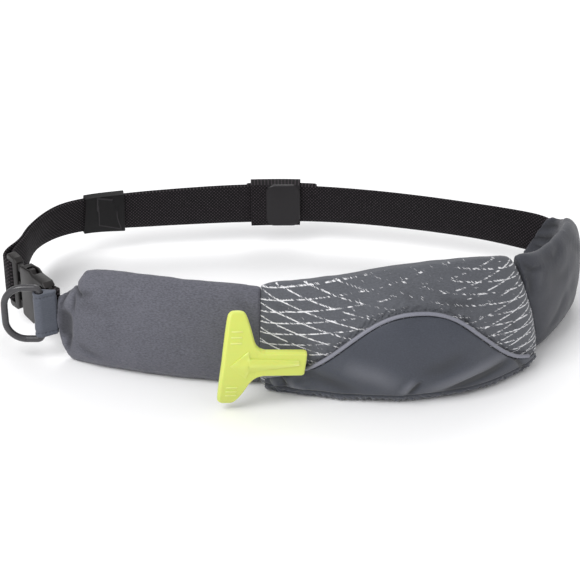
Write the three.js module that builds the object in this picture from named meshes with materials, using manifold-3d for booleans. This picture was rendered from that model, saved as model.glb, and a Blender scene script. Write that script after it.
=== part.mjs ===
// An inflatable belt pack: a padded front of three sewn bodies (a plain side panel, the pouch that
// holds the folded air cell, and a side wing), a webbing belt that closes the loop through a
// side-release buckle, a D-ring on a fabric tab, and a T-shaped pull handle on the pouch.
// Millimetres, +Z up. The pack stands on the bottom edges of its padded bodies, and its front faces -Y.
import * as THREE from "three";
import { mergeVertices } from "three/addons/utils/BufferGeometryUtils.js";
import Module from "manifold-3d";

const wasm = await Module();
wasm.setup();

// Sizes of the padded bodies
const PANEL_LENGTH = 169.5;
const PANEL_HEIGHT = 92;
const PANEL_DEPTH = 25;
const POUCH_LENGTH = 217.5;
const POUCH_HEIGHT = 116;
const POUCH_DEPTH = 53;
const WING_LENGTH = 143;
const WING_HEIGHT = 88;
const WING_DEPTH = 22;
const COVER_THICKNESS = 1.5;
const PIPING_DIAMETER = 3.2;

// Sizes of the belt
const WEBBING_WIDTH = 38;
const WEBBING_THICKNESS = 2.2;
const BELT_CENTRE_HEIGHT = 45;
const BACK_REACH = 104;
const MOST_LEAN = 13;
const MOUTH_POCKET_DEPTH = 18;
const MOUTH_CLEARANCE_LENGTH = 18;
const TAIL_PARTING_LENGTH = 34;
const TAIL_LENGTH = 345;
const TAIL_FOLD_LENGTH = 62;

// Sizes of the keeper and the slide
const KEEPER_LENGTH = 37;
const KEEPER_FROM_BUCKLE = 152;
const KEEPER_WALL = 1.6;
const SLIDE_LENGTH = 45;
const SLIDE_FROM_FOLD = 35.5;
const SLIDE_WALL = 1.8;
const SLIDE_PLATE_LENGTH = 31;
const SLIDE_PLATE_SHIFT = 7;
const SLIDE_PLATE_HEIGHT = 43;
const SLIDE_PLATE_THICKNESS = 2.4;
const SLIDE_PLATE_CORNER = 7;

// Sizes of the buckle
const BUCKLE_SIDE_RAIL = 6;
const BUCKLE_THICKNESS = 11;
const SOCKET_LENGTH = 42;
const PLUG_FRAME_LENGTH = 16;
const PLUG_EXPOSED_ARM = 8;
const PLUG_FRAME_THICKNESS = 8;
const BUCKLE_BAR = 3.8;
const BUCKLE_SLOT = 5.6;
const PLUG_ARM_WIDTH = 5;
const PLUG_ARM_THICKNESS = 4.6;
const PLUG_TONGUE_WIDTH = 8;
const SOCKET_WALL = 2.2;
const SOCKET_WINDOW_LENGTH = 12;
const BUCKLE_HEADING = -52;

// Sizes of the D-ring and its tab
const RING_WIRE = 6.2;
const RING_HEIGHT = 55;
const RING_REACH = 35.5;
const RING_CENTRE_HEIGHT = 46;
const RING_CORNER = 4;
const RING_BOW = 17;
const TAB_WIDTH = 41;
const TAB_REACH = 13;
const TAB_FORWARD = 1;
const ANCHOR_REACH = 8;
const TAB_CLOTH = 1.6;

// Sizes of the pull handle
const HANDLE_BAR_LENGTH = 84;
const HANDLE_REACH = 68;
const HANDLE_STEM_WIDTH = 22;
const HANDLE_THICKNESS = 7;
const HANDLE_ARCH = 9.5;
const HANDLE_END_ALONG = 34.5;
const HANDLE_HEIGHT = 41;
const HANDLE_YAW = 13;
const HANDLE_ROLL = 7.5;
const LANYARD_WIDTH = 11;
const LANYARD_FROM_END = 3;
const LANYARD_THICKNESS = 9;

// Gaps kept between pieces
const SEAM_GAP = 0.3;
const RUN_GAP = 0.5;
const SLEEVE_EASE = 0.25;

// How the wearer's side of the front turns in plan: heading in degrees, 0 to the right, rising to the back.
const PANEL_TURN = [
  { along: 0, heading: -17 },
  { along: 0.5, heading: -13 },
  { along: 1, heading: -2 },
];
const POUCH_TURN = [
  { along: 0, heading: -2 },
  { along: 0.3, heading: 1.5 },
  { along: 0.55, heading: 6 },
  { along: 0.78, heading: 16 },
  { along: 0.92, heading: 29 },
  { along: 1, heading: 43 },
];
const WING_TURN = [
  { along: 0, heading: 43 },
  { along: 0.12, heading: 55 },
  { along: 0.3, heading: 61 },
  { along: 0.5, heading: 67 },
  { along: 0.75, heading: 92 },
  { along: 1, heading: 147 },
];

// Sections along each padded body. height, depth and out are shares of its own height and depth, rise is
// the share of its height that the section's foot stands above the floor, and lean is how far the
// section slopes along the body for each millimetre of height.
const PANEL_SECTIONS = [
  { along: 0, height: 0.397, depth: 0.42, out: 0.06, rise: 0.239, lean: 0 },
  { along: 0.012, height: 0.505, depth: 0.43, out: 0.06, rise: 0.141, lean: 0 },
  { along: 0.025, height: 0.614, depth: 0.45, out: 0.06, rise: 0.054, lean: 0 },
  { along: 0.045, height: 0.69, depth: 0.52, out: 0.05, rise: 0.016, lean: 0 },
  { along: 0.075, height: 0.74, depth: 0.6, out: 0.04, rise: 0, lean: 0 },
  { along: 0.1, height: 0.793, depth: 0.68, out: 0.03, rise: 0, lean: 0 },
  { along: 0.135, height: 0.913, depth: 0.76, out: 0.02, rise: 0, lean: 0 },
  { along: 0.165, height: 0.957, depth: 0.83, out: 0.01, rise: 0, lean: 0 },
  { along: 0.22, height: 0.98, depth: 0.9, out: 0, rise: 0, lean: 0 },
  { along: 0.4, height: 1, depth: 0.98, out: 0, rise: 0, lean: 0 },
  { along: 0.6, height: 0.995, depth: 1, out: 0, rise: 0, lean: 0 },
  { along: 0.9, height: 0.98, depth: 1, out: 0, rise: 0, lean: 0 },
  { along: 1, height: 0.95, depth: 0.88, out: 0.02, rise: 0.01, lean: 0 },
];
const POUCH_SECTIONS = [
  { along: 0, height: 0.75, depth: 0.45, out: 0, rise: 0.01, lean: 0 },
  { along: 0.025, height: 0.79, depth: 0.54, out: 0, rise: 0, lean: 0 },
  { along: 0.16, height: 0.835, depth: 0.74, out: 0, rise: 0, lean: -0.02 },
  { along: 0.32, height: 0.885, depth: 0.9, out: 0, rise: 0, lean: -0.05 },
  { along: 0.5, height: 0.945, depth: 1, out: 0, rise: 0, lean: -0.1 },
  { along: 0.68, height: 0.965, depth: 0.93, out: 0, rise: 0, lean: -0.15 },
  { along: 0.84, height: 0.945, depth: 0.7, out: 0, rise: 0, lean: -0.2 },
  { along: 0.95, height: 0.9, depth: 0.5, out: 0, rise: 0.004, lean: -0.24 },
  { along: 0.985, height: 0.85, depth: 0.4, out: 0, rise: 0.02, lean: -0.26 },
  { along: 1, height: 0.76, depth: 0.3, out: 0.02, rise: 0.05, lean: -0.26 },
];
const WING_SECTIONS = [
  { along: 0, height: 1.05, depth: 0.78, out: 0, rise: 0.02, lean: -0.26 },
  { along: 0.06, height: 1.08, depth: 0.86, out: 0, rise: 0, lean: -0.24 },
  { along: 0.35, height: 1.05, depth: 0.95, out: 0, rise: 0, lean: -0.17 },
  { along: 0.55, height: 1.01, depth: 0.95, out: 0, rise: 0, lean: -0.17 },
  { along: 0.7, height: 0.955, depth: 0.86, out: 0, rise: 0.02, lean: -0.24 },
  { along: 0.8, height: 0.86, depth: 0.75, out: 0, rise: 0.065, lean: -0.33 },
  { along: 0.9, height: 0.68, depth: 0.6, out: 0, rise: 0.155, lean: -0.42 },
  { along: 0.96, height: 0.555, depth: 0.5, out: 0, rise: 0.225, lean: -0.47 },
  { along: 1, height: 0.5, depth: 0.44, out: 0.01, rise: 0.26, lean: -0.49 },
];

// Outlines of a section, as shares of its height and depth: the outer side and the wearer's side.
const PAD_OUTER = [
  { up: 0, forward: 0.4 },
  { up: 0.04, forward: 0.66 },
  { up: 0.13, forward: 0.87 },
  { up: 0.3, forward: 0.98 },
  { up: 0.5, forward: 1 },
  { up: 0.7, forward: 0.98 },
  { up: 0.87, forward: 0.87 },
  { up: 0.96, forward: 0.66 },
  { up: 1, forward: 0.42 },
];
const PAD_INNER = [
  { up: 0, forward: 0.22 },
  { up: 0.07, forward: 0.06 },
  { up: 0.3, forward: 0 },
  { up: 0.7, forward: 0 },
  { up: 0.93, forward: 0.06 },
  { up: 1, forward: 0.26 },
];
const POUCH_OUTER = [
  { up: 0, forward: 0.62 },
  { up: 0.035, forward: 0.79 },
  { up: 0.11, forward: 0.91 },
  { up: 0.24, forward: 0.985 },
  { up: 0.38, forward: 1 },
  { up: 0.54, forward: 0.96 },
  { up: 0.7, forward: 0.85 },
  { up: 0.84, forward: 0.69 },
  { up: 0.94, forward: 0.53 },
  { up: 1, forward: 0.36 },
];
const POUCH_INNER = [
  { up: 0, forward: 0.12 },
  { up: 0.06, forward: 0.03 },
  { up: 0.3, forward: 0 },
  { up: 0.7, forward: 0 },
  { up: 0.94, forward: 0.06 },
  { up: 1, forward: 0.24 },
];

// The piping's arc over the pouch, as shares of the pouch's length and of its height there.
const PIPING_ARC = [
  { along: 0.02, up: 0.185 },
  { along: 0.077, up: 0.245 },
  { along: 0.164, up: 0.33 },
  { along: 0.221, up: 0.405 },
  { along: 0.282, up: 0.515 },
  { along: 0.354, up: 0.625 },
  { along: 0.416, up: 0.695 },
  { along: 0.487, up: 0.737 },
  { along: 0.559, up: 0.745 },
  { along: 0.631, up: 0.722 },
  { along: 0.692, up: 0.67 },
  { along: 0.739, up: 0.57 },
  { along: 0.785, up: 0.455 },
  { along: 0.821, up: 0.345 },
  { along: 0.856, up: 0.255 },
  { along: 0.908, up: 0.175 },
  { along: 0.964, up: 0.125 },
];

// How far the webbing's lower edge lies outside its upper edge, along its run and as a share of the most.
const WEBBING_LEAN = [
  { along: 0, lean: 0 },
  { along: 0.035, lean: 0.05 },
  { along: 0.15, lean: 0.45 },
  { along: 0.3, lean: 0.4 },
  { along: 0.5, lean: 0.15 },
  { along: 0.66, lean: 0.45 },
  { along: 0.77, lean: 0.95 },
  { along: 0.84, lean: 1 },
  { along: 0.92, lean: 0.2 },
  { along: 0.95, lean: 0 },
];

// Half of the handle's bar, from its middle to its tip: reach is a share of half the bar's length, left
// and right are shares of the handle's reach, and thin is what is lost from each face.
const HANDLE_BAR = [
  { reach: 0, left: 1, right: 0.585, thin: 0 },
  { reach: 0.26, left: 1, right: 0.585, thin: 0 },
  { reach: 0.36, left: 0.998, right: 0.606, thin: 0 },
  { reach: 0.46, left: 0.995, right: 0.64, thin: 0 },
  { reach: 0.7, left: 0.985, right: 0.69, thin: 0.2 },
  { reach: 0.86, left: 0.974, right: 0.728, thin: 0.5 },
  { reach: 0.94, left: 0.963, right: 0.752, thin: 0.9 },
  { reach: 0.985, left: 0.94, right: 0.775, thin: 1.5 },
  { reach: 1, left: 0.905, right: 0.81, thin: 2.2 },
];

// The handle's stem, from the bar to its end: along is a share of the handle's reach, and half is a
// share of half the stem's width.
const HANDLE_STEM = [
  { along: 0.66, half: 1.75, thin: 0.3 },
  { along: 0.606, half: 1.38, thin: 0.1 },
  { along: 0.56, half: 1.14, thin: 0 },
  { along: 0.5, half: 1.02, thin: 0 },
  { along: 0.03, half: 1, thin: 0 },
  { along: 0.008, half: 0.97, thin: 0.4 },
  { along: 0, half: 0.9, thin: 1.2 },
];

// The raised arrow and rib on the handle's face: half is its half width, and raise its height.
const HANDLE_RIB = [
  { along: 0.885, half: 0.5, raise: 0 },
  { along: 0.7, half: 12.8, raise: 1.5 },
  { along: 0.675, half: 5.6, raise: 1.6 },
  { along: 0.07, half: 1.8, raise: 0.5 },
];

// The webbing's run from the wing's mouth to the buckle: along is a share of the straight line between
// them, and out is a share of the furthest reach behind that line.
const WEBBING_RUN = [
  { along: 0.03, out: 0.1 },
  { along: 0.097, out: 0.29 },
  { along: 0.204, out: 0.535 },
  { along: 0.314, out: 0.74 },
  { along: 0.426, out: 0.89 },
  { along: 0.546, out: 0.97 },
  { along: 0.651, out: 1 },
  { along: 0.77, out: 1.01 },
  { along: 0.852, out: 1 },
  { along: 0.908, out: 0.92 },
  { along: 0.945, out: 0.77 },
  { along: 0.97, out: 0.55 },
  { along: 0.983, out: 0.34 },
];

// Steps that set how finely curved bodies are faceted
const PANEL_RINGS = 24;
const POUCH_RINGS = 34;
const WING_RINGS = 28;
const SECTION_POINTS = 11;
const WEBBING_STEP = 8;

const LIME = new THREE.Color(0.79, 0.9, 0.2);
const COLOURS = {
  cloth: { color: 0x63656e, roughness: 0.8, metalness: 0 },
  printedCloth: { color: 0x4d5058, roughness: 0.72, metalness: 0 },
  coverCloth: { color: 0x555963, roughness: 0.75, metalness: 0 },
  piping: { color: 0x8f9099, roughness: 0.5, metalness: 0 },
  webbing: { color: 0x19171b, roughness: 0.85, metalness: 0 },
  blackPlastic: { color: 0x37353a, roughness: 0.45, metalness: 0 },
  greyPlastic: { color: 0x55545a, roughness: 0.4, metalness: 0 },
  limePlastic: { color: LIME, roughness: 0.45, metalness: 0 },
};

// Interpolates a table's column at a share, with slopes that never overshoot the rows.
function readTable(rows, key, column, share) {
  const last = rows.length - 1;
  if (share <= rows[0][key]) return rows[0][column];
  if (share >= rows[last][key]) return rows[last][column];
  let i = 0;
  while (rows[i + 1][key] < share) i += 1;
  const secant = (k) =>
    (rows[k + 1][column] - rows[k][column]) / (rows[k + 1][key] - rows[k][key]);
  const slope = (k) => {
    if (k === 0) return secant(0);
    if (k === last) return secant(last - 1);
    const before = secant(k - 1);
    const after = secant(k);
    return before * after <= 0 ? 0 : (2 * before * after) / (before + after);
  };
  const width = rows[i + 1][key] - rows[i][key];
  const t = (share - rows[i][key]) / width;
  const a = rows[i][column];
  const b = rows[i + 1][column];
  return (
    a * (2 * t ** 3 - 3 * t ** 2 + 1) +
    slope(i) * width * (t ** 3 - 2 * t ** 2 + t) +
    b * (3 * t ** 2 - 2 * t ** 3) +
    slope(i + 1) * width * (t ** 3 - t ** 2)
  );
}

const smoothStep = (t) => {
  const c = Math.min(1, Math.max(0, t));
  return c * c * (3 - 2 * c);
};

// A line in plan, measured by its length, that gives a place, a heading and its outward side.
class PlanLine {
  constructor(points) {
    this.points = points;
    this.lengths = [0];
    for (let i = 1; i < points.length; i += 1) {
      this.lengths.push(this.lengths[i - 1] + points[i].distanceTo(points[i - 1]));
    }
    this.length = this.lengths[points.length - 1];
  }

  segment(s) {
    let low = 0;
    let high = this.points.length - 2;
    while (low < high) {
      const middle = Math.ceil((low + high) / 2);
      if (this.lengths[middle] <= s) low = middle;
      else high = middle - 1;
    }
    return low;
  }

  place(s) {
    const i = this.segment(s);
    const t = (s - this.lengths[i]) / (this.lengths[i + 1] - this.lengths[i]);
    return this.points[i].clone().lerp(this.points[i + 1], t);
  }

  direction(s) {
    const reach = 1.5;
    const ahead = this.place(s + reach);
    return ahead.sub(this.place(s - reach)).normalize();
  }

  // The side away from the wearer lies to the right of the line's direction.
  outward(s) {
    const d = this.direction(s);
    return new THREE.Vector2(d.y, -d.x);
  }

  offset(s, outwards) {
    return this.place(s).addScaledVector(this.outward(s), outwards);
  }
}

// The front's line starts before the panel's end and ends past the wing's mouth, so that leaning
// sections stay on it. Its length 0 is the panel's end.
const LINE_MARGIN = 40;
const LINE_STEP = 1;
const panelStart = LINE_MARGIN;
const pouchStart = panelStart + PANEL_LENGTH + SEAM_GAP;
const wingStart = pouchStart + POUCH_LENGTH + 2 * SEAM_GAP;
const wingEnd = wingStart + WING_LENGTH;

function headingAt(s) {
  if (s < pouchStart) {
    return readTable(PANEL_TURN, "along", "heading", (s - panelStart) / PANEL_LENGTH);
  }
  if (s < wingStart) {
    return readTable(POUCH_TURN, "along", "heading", (s - pouchStart) / POUCH_LENGTH);
  }
  return readTable(WING_TURN, "along", "heading", (s - wingStart) / WING_LENGTH);
}

function traceFront() {
  const points = [new THREE.Vector2(0, 0)];
  const steps = Math.ceil((wingEnd + LINE_MARGIN) / LINE_STEP);
  for (let i = 0; i < steps; i += 1) {
    const heading = THREE.MathUtils.degToRad(headingAt((i + 0.5) * LINE_STEP));
    const next = new THREE.Vector2(Math.cos(heading), Math.sin(heading));
    points.push(next.multiplyScalar(LINE_STEP).add(points[i]));
  }
  return new PlanLine(points);
}

const front = traceFront();

// A closed surface from rings of points that each have the same number, in order along the body.
function loft(rings) {
  const count = rings[0].length;
  const positions = rings.flat().flatMap((p) => [p.x, p.y, p.z]);
  const faces = [];
  const index = (ring, k) => ring * count + (k % count);
  for (let ring = 0; ring < rings.length - 1; ring += 1) {
    for (let k = 0; k < count; k += 1) {
      const [a, b] = [index(ring, k), index(ring, k + 1)];
      const [c, d] = [index(ring + 1, k + 1), index(ring + 1, k)];
      faces.push(a, b, c, a, c, d);
    }
  }
  const cap = (ring, turned) => {
    const centre = positions.length / 3;
    const middle = new THREE.Vector3();
    rings[ring].forEach((p) => middle.addScaledVector(p, 1 / count));
    positions.push(middle.x, middle.y, middle.z);
    for (let k = 0; k < count; k += 1) {
      const [a, b] = [index(ring, k), index(ring, k + 1)];
      if (turned) faces.push(centre, b, a);
      else faces.push(centre, a, b);
    }
  };
  cap(0, true);
  cap(rings.length - 1, false);
  return facingOut(positions, faces);
}

// Turns the faces round where they enclose a negative volume.
function facingOut(positions, faces) {
  const corner = (i) => new THREE.Vector3().fromArray(positions, 3 * i);
  let volume = 0;
  for (let i = 0; i < faces.length; i += 3) {
    const [a, b, c] = [corner(faces[i]), corner(faces[i + 1]), corner(faces[i + 2])];
    volume += a.dot(b.cross(c));
  }
  if (volume < 0) faces.reverse();
  const geometry = new THREE.BufferGeometry();
  geometry.setAttribute("position", new THREE.Float32BufferAttribute(positions, 3));
  geometry.setIndex(faces);
  return geometry;
}

function toSolid(geometry) {
  const bare = geometry.clone();
  bare.deleteAttribute("normal");
  bare.deleteAttribute("uv");
  const merged = mergeVertices(bare, 1e-3);
  return new wasm.Manifold(
    new wasm.Mesh({
      numProp: 3,
      vertProperties: merged.attributes.position.array,
      triVerts: new Uint32Array(merged.index.array),
    }),
  );
}

function toGeometry(solid) {
  const mesh = solid.getMesh();
  const geometry = new THREE.BufferGeometry();
  const positions = new THREE.BufferAttribute(new Float32Array(mesh.vertProperties), 3);
  geometry.setAttribute("position", positions);
  geometry.setIndex(Array.from(mesh.triVerts));
  return geometry;
}

function joinAll(geometries) {
  return geometries.map(toSolid).reduce((sum, solid) => sum.add(solid));
}

function boxSpan(low, high) {
  const size = high.map((value, i) => value - low[i]);
  const box = new THREE.BoxGeometry(...size);
  return box.translate(low[0] + size[0] / 2, low[1] + size[1] / 2, low[2] + size[2] / 2);
}

// A padded body: its sections and outlines, the sizes that they are shares of, and its stretch of the line.
function padBody({ sections, outer, inner, height, depth, start, length }) {
  const read = (column, share) => readTable(sections, "along", column, share);
  // A point of the body's skin: share along it, share up its section, on the outer or the wearer's side.
  const skin = (share, up, outlineRows, lift = 0) => {
    const tall = height * read("height", share);
    const deep = depth * read("depth", share);
    const z = height * read("rise", share) + tall * up;
    const forward = readTable(outlineRows, "up", "forward", up);
    const outwards = depth * read("out", share) + deep * forward + lift;
    const s = start + length * share + read("lean", share) * (z - BELT_CENTRE_HEIGHT);
    const p = front.offset(s, outwards);
    return new THREE.Vector3(p.x, p.y, z);
  };
  const outerSkin = (share, up, lift) => skin(share, up, outer, lift);
  // Points crowd to the top and bottom edges, where the section turns.
  const steps = Array.from({ length: SECTION_POINTS }, (_, i) => {
    const t = i / (SECTION_POINTS - 1);
    return (1 - Math.cos(Math.PI * t)) / 2;
  });
  const ring = (share) => [
    ...steps.map((up) => skin(share, up, outer)),
    ...steps.toReversed().map((up) => skin(share, up, inner)),
  ];
  const solid = (ringCount) => {
    const shares = Array.from({ length: ringCount + 1 }, (_, i) => {
      const t = i / ringCount;
      return t - (0.6 * Math.sin(2 * Math.PI * t)) / (2 * Math.PI);
    });
    return loft(shares.map(ring));
  };
  return { outerSkin, solid };
}

const panelBody = padBody({
  sections: PANEL_SECTIONS,
  outer: PAD_OUTER,
  inner: PAD_INNER,
  height: PANEL_HEIGHT,
  depth: PANEL_DEPTH,
  start: panelStart,
  length: PANEL_LENGTH,
});
const pouchBody = padBody({
  sections: POUCH_SECTIONS,
  outer: POUCH_OUTER,
  inner: POUCH_INNER,
  height: POUCH_HEIGHT,
  depth: POUCH_DEPTH,
  start: pouchStart,
  length: POUCH_LENGTH,
});
const wingBody = padBody({
  sections: WING_SECTIONS,
  outer: PAD_OUTER,
  inner: PAD_INNER,
  height: WING_HEIGHT,
  depth: WING_DEPTH,
  start: wingStart,
  length: WING_LENGTH,
});

// Direction in which the pouch's skin faces at a place on its outer side.
function pouchFacing(share, up) {
  const small = 0.01;
  const skin = pouchBody.outerSkin;
  const along = skin(share + small, up).sub(skin(share - small, up));
  const rise = skin(share, up + small).sub(skin(share, up - small));
  return along.cross(rise).normalize();
}

function onPouch(share, up, lift) {
  return pouchBody.outerSkin(share, up).addScaledVector(pouchFacing(share, up), lift);
}

// A sheet of even thickness that lies on the pouch: rows of shares give its grid.
function sheetOnPouch(columns, rows, place, lift, thickness) {
  const ring = (column) => {
    const near = rows.map((row) => onPouch(...place(column, row), lift));
    const far = rows.map((row) => onPouch(...place(column, row), lift + thickness));
    return [...near, ...far.toReversed()];
  };
  return loft(columns.map(ring));
}

const evenly = (count) => Array.from({ length: count + 1 }, (_, i) => i / count);

// The plain lower cover of the pouch, from its bottom edge up to the piping.
function lowerCover() {
  const first = PIPING_ARC[0].along;
  const last = PIPING_ARC[PIPING_ARC.length - 1].along;
  const foot = 0.02;
  const clear = (PIPING_DIAMETER / 2 + 2 * SEAM_GAP) / POUCH_HEIGHT;
  const arcUp = (share) => readTable(PIPING_ARC, "along", "up", share);
  const place = (column, row) => {
    const share = first + (last - first) * column;
    const small = 0.005;
    const climb = (arcUp(share + small) - arcUp(share - small)) * POUCH_HEIGHT;
    const slope = climb / (2 * small * POUCH_LENGTH);
    const top = arcUp(share) - clear * Math.hypot(1, slope);
    return [share, foot + (top - foot) * row ** 1.5];
  };
  return sheetOnPouch(evenly(34), evenly(10), place, 2 * SEAM_GAP, COVER_THICKNESS);
}

function sweepTube(points, radius, sides) {
  const curve = new THREE.CatmullRomCurve3(points, false, "centripetal");
  const ringPoints = Array.from({ length: sides }, (_, i) => {
    const turn = (2 * Math.PI * (i + 0.5)) / sides;
    return new THREE.Vector2(radius * Math.cos(turn), radius * Math.sin(turn));
  });
  return new THREE.ExtrudeGeometry(new THREE.Shape(ringPoints), {
    steps: points.length * 2,
    extrudePath: curve,
    bevelEnabled: false,
  });
}

function piping() {
  const first = PIPING_ARC[0].along;
  const last = PIPING_ARC[PIPING_ARC.length - 1].along;
  const lift = PIPING_DIAMETER / 2 + 1.6 * SEAM_GAP;
  const points = evenly(22).map((t) => {
    const share = first + (last - first) * t;
    return onPouch(share, readTable(PIPING_ARC, "along", "up", share), lift);
  });
  return sweepTube(points, PIPING_DIAMETER / 2, 6);
}

// The buckle lies where the belt turns past the panel's end. Its own x runs from the webbing to the
// panel, its own -y faces outwards, and its own origin is the socket's mouth.
const BUCKLE_WIDTH = WEBBING_WIDTH + 2 * (BUCKLE_SIDE_RAIL + RUN_GAP);
const neckInner = PANEL_DEPTH * PANEL_SECTIONS[0].out;
const neckOuter = neckInner + PANEL_DEPTH * PANEL_SECTIONS[0].depth;
const barCentre = SOCKET_LENGTH - BUCKLE_BAR / 2;
const awayFromNeck = front.direction(panelStart).negate();
const neckEnd = (outwards) =>
  front.offset(panelStart, outwards).addScaledVector(awayFromNeck, SEAM_GAP);
const buckle = new THREE.Group();
buckle.rotation.z = THREE.MathUtils.degToRad(BUCKLE_HEADING);
const buckleAxis = new THREE.Vector2(Math.cos(buckle.rotation.z), Math.sin(buckle.rotation.z));
const anchorRoot = neckEnd(neckInner + TAB_CLOTH + SEAM_GAP);
const socketBar = anchorRoot.clone().addScaledVector(awayFromNeck, ANCHOR_REACH);
const buckleOrigin = socketBar.clone().addScaledVector(buckleAxis, -barCentre);
buckle.position.set(buckleOrigin.x, buckleOrigin.y, BELT_CENTRE_HEIGHT);

// Half the height of the socket's cavity, which the plug's arms run in.
const cavityHalf = BUCKLE_WIDTH / 2 - BUCKLE_SIDE_RAIL;

// A flat moulding: its outline lies in the buckle's own x and z, and it is centred on y = 0.
function moulding(outline, thickness, bevel) {
  const shape = new THREE.Shape(outline.map(([x, z]) => new THREE.Vector2(x, z)));
  const geometry = new THREE.ExtrudeGeometry(shape, {
    depth: thickness - 2 * bevel,
    bevelEnabled: bevel > 0,
    bevelSize: bevel,
    bevelOffset: -bevel,
    bevelThickness: bevel,
    bevelSegments: 2,
  });
  return geometry.translate(0, 0, bevel - thickness / 2).rotateX(Math.PI / 2);
}

const mirrorOutline = (half) => [...half, ...half.toReversed().map(([x, z]) => [x, -z])];

function buckleSocket() {
  const half = BUCKLE_WIDTH / 2;
  const shoulder = half - 1.5;
  const waist = SOCKET_LENGTH * 0.5;
  const outline = mirrorOutline([
    [0, shoulder - 2],
    [2.5, shoulder],
    [waist - 5, half],
    [waist, half - 2.5],
    [SOCKET_LENGTH - 6, half - 2.5],
    [SOCKET_LENGTH, half - 7],
  ]);
  const slotEnd = SOCKET_LENGTH - BUCKLE_BAR;
  const slotStart = slotEnd - BUCKLE_SLOT;
  const cavityEnd = slotStart - 5;
  const z = WEBBING_WIDTH / 2 + RUN_GAP;
  const y = BUCKLE_THICKNESS / 2 - SOCKET_WALL;
  const deep = BUCKLE_THICKNESS;
  const windowEnd = waist - 1;
  const cuts = [
    boxSpan([-1, -y, -cavityHalf], [cavityEnd, y, cavityHalf]),
    boxSpan([windowEnd - SOCKET_WINDOW_LENGTH, -y, -half - 1], [windowEnd, y, half + 1]),
    boxSpan([slotStart, -deep, -z], [slotEnd, deep, z]),
    boxSpan([slotStart, BUCKLE_BAR / 2, -z], [SOCKET_LENGTH + 1, deep, z]),
    boxSpan([slotStart, -deep, -z], [SOCKET_LENGTH + 1, -BUCKLE_BAR / 2, z]),
  ];
  return toGeometry(toSolid(moulding(outline, BUCKLE_THICKNESS, 1.2)).subtract(joinAll(cuts)));
}

const plugEnd = -PLUG_EXPOSED_ARM - PLUG_FRAME_LENGTH;
const wrapBar = plugEnd + BUCKLE_BAR / 2;

function bucklePlug() {
  const half = BUCKLE_WIDTH / 2;
  const frame = moulding(
    mirrorOutline([
      [plugEnd, half - 3],
      [plugEnd + 1, half - 1],
      [plugEnd + 3.5, half],
      [-PLUG_EXPOSED_ARM - 4, half - 0.5],
      [-PLUG_EXPOSED_ARM, half - 3.5],
    ]),
    PLUG_FRAME_THICKNESS,
    1,
  );
  const slotStart = plugEnd + BUCKLE_BAR;
  const slotEnd = slotStart + BUCKLE_SLOT;
  const z = WEBBING_WIDTH / 2 + RUN_GAP;
  const deep = PLUG_FRAME_THICKNESS;
  const cuts = [
    boxSpan([slotStart, -deep, -z], [slotEnd, deep, z]),
    boxSpan([plugEnd - 1, BUCKLE_BAR / 2, -z], [slotEnd, deep, z]),
    boxSpan([plugEnd - 1, -deep, -z], [slotEnd, -BUCKLE_BAR / 2, z]),
  ];
  const armOuter = cavityHalf - RUN_GAP;
  const y = PLUG_ARM_THICKNESS / 2;
  const waist = SOCKET_LENGTH * 0.5;
  const root = -PLUG_EXPOSED_ARM - 3;
  const arm = (side) => {
    const outline = [
      [root, side * (armOuter - PLUG_ARM_WIDTH)],
      [root, side * (half - 4)],
      [-2, side * armOuter],
      [waist - 12, side * armOuter],
      [waist - 11, side * (half - 1.5)],
      [waist - 7, side * (half - 1)],
      [waist - 2, side * (armOuter - 1)],
      [waist - 3, side * (armOuter - PLUG_ARM_WIDTH)],
    ];
    return moulding(side > 0 ? outline.toReversed() : outline, PLUG_ARM_THICKNESS, 0);
  };
  const tongueHalf = PLUG_TONGUE_WIDTH / 2;
  const tongue = boxSpan([root, -y, -tongueHalf], [waist + 2, y, tongueHalf]);
  const frameSolid = toSolid(frame).subtract(joinAll(cuts));
  return toGeometry(frameSolid.add(joinAll([arm(1), arm(-1), tongue])));
}

// A loop of cloth or strap that is sewn into the neck and wraps a bar: a drop shape in plan with a hole
// for the bar. root is where it leaves the neck, and rootHalf is half its thickness there.
function wrapLoop(root, towards, bar, barRadius, cloth, width) {
  const outerRadius = barRadius + RUN_GAP + cloth;
  const along = bar.clone().sub(root);
  const distance = along.length();
  const direction = along.normalize();
  const side = new THREE.Vector2(-direction.y, direction.x);
  const at = (x, y) => root.clone().addScaledVector(direction, x).addScaledVector(side, y);
  const rootHalf = cloth + SEAM_GAP / 2;
  const rootLine = new THREE.Vector2(-towards.y, towards.x);
  const facets = 14;
  const touch = Math.acos(Math.min(1, (outerRadius - rootHalf) / distance));
  const arc = evenly(facets).map((t) => {
    const turn = Math.PI - touch - 2 * (Math.PI - touch) * t;
    return at(distance + outerRadius * Math.cos(turn), outerRadius * Math.sin(turn));
  });
  const outline = [
    root.clone().addScaledVector(rootLine, -rootHalf),
    root.clone().addScaledVector(rootLine, rootHalf),
    ...arc,
  ];
  const shape = new THREE.Shape(outline);
  const hole = evenly(11).map((t) => {
    const turn = 2 * Math.PI * t * (11 / 12);
    const radius = barRadius + RUN_GAP;
    return at(distance + radius * Math.cos(turn), radius * Math.sin(turn));
  });
  shape.holes.push(new THREE.Path(hole));
  return new THREE.ExtrudeGeometry(shape, { depth: width, bevelEnabled: false, steps: 1 });
}

function anchorStrap() {
  const barRadius = (BUCKLE_BAR / 2) * Math.SQRT2;
  const loop = wrapLoop(anchorRoot, awayFromNeck, socketBar, barRadius, TAB_CLOTH, WEBBING_WIDTH);
  return loop.translate(0, 0, BELT_CENTRE_HEIGHT - WEBBING_WIDTH / 2);
}

const ringBar = neckEnd(neckOuter).add(new THREE.Vector2(-TAB_REACH, -TAB_FORWARD));

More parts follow.
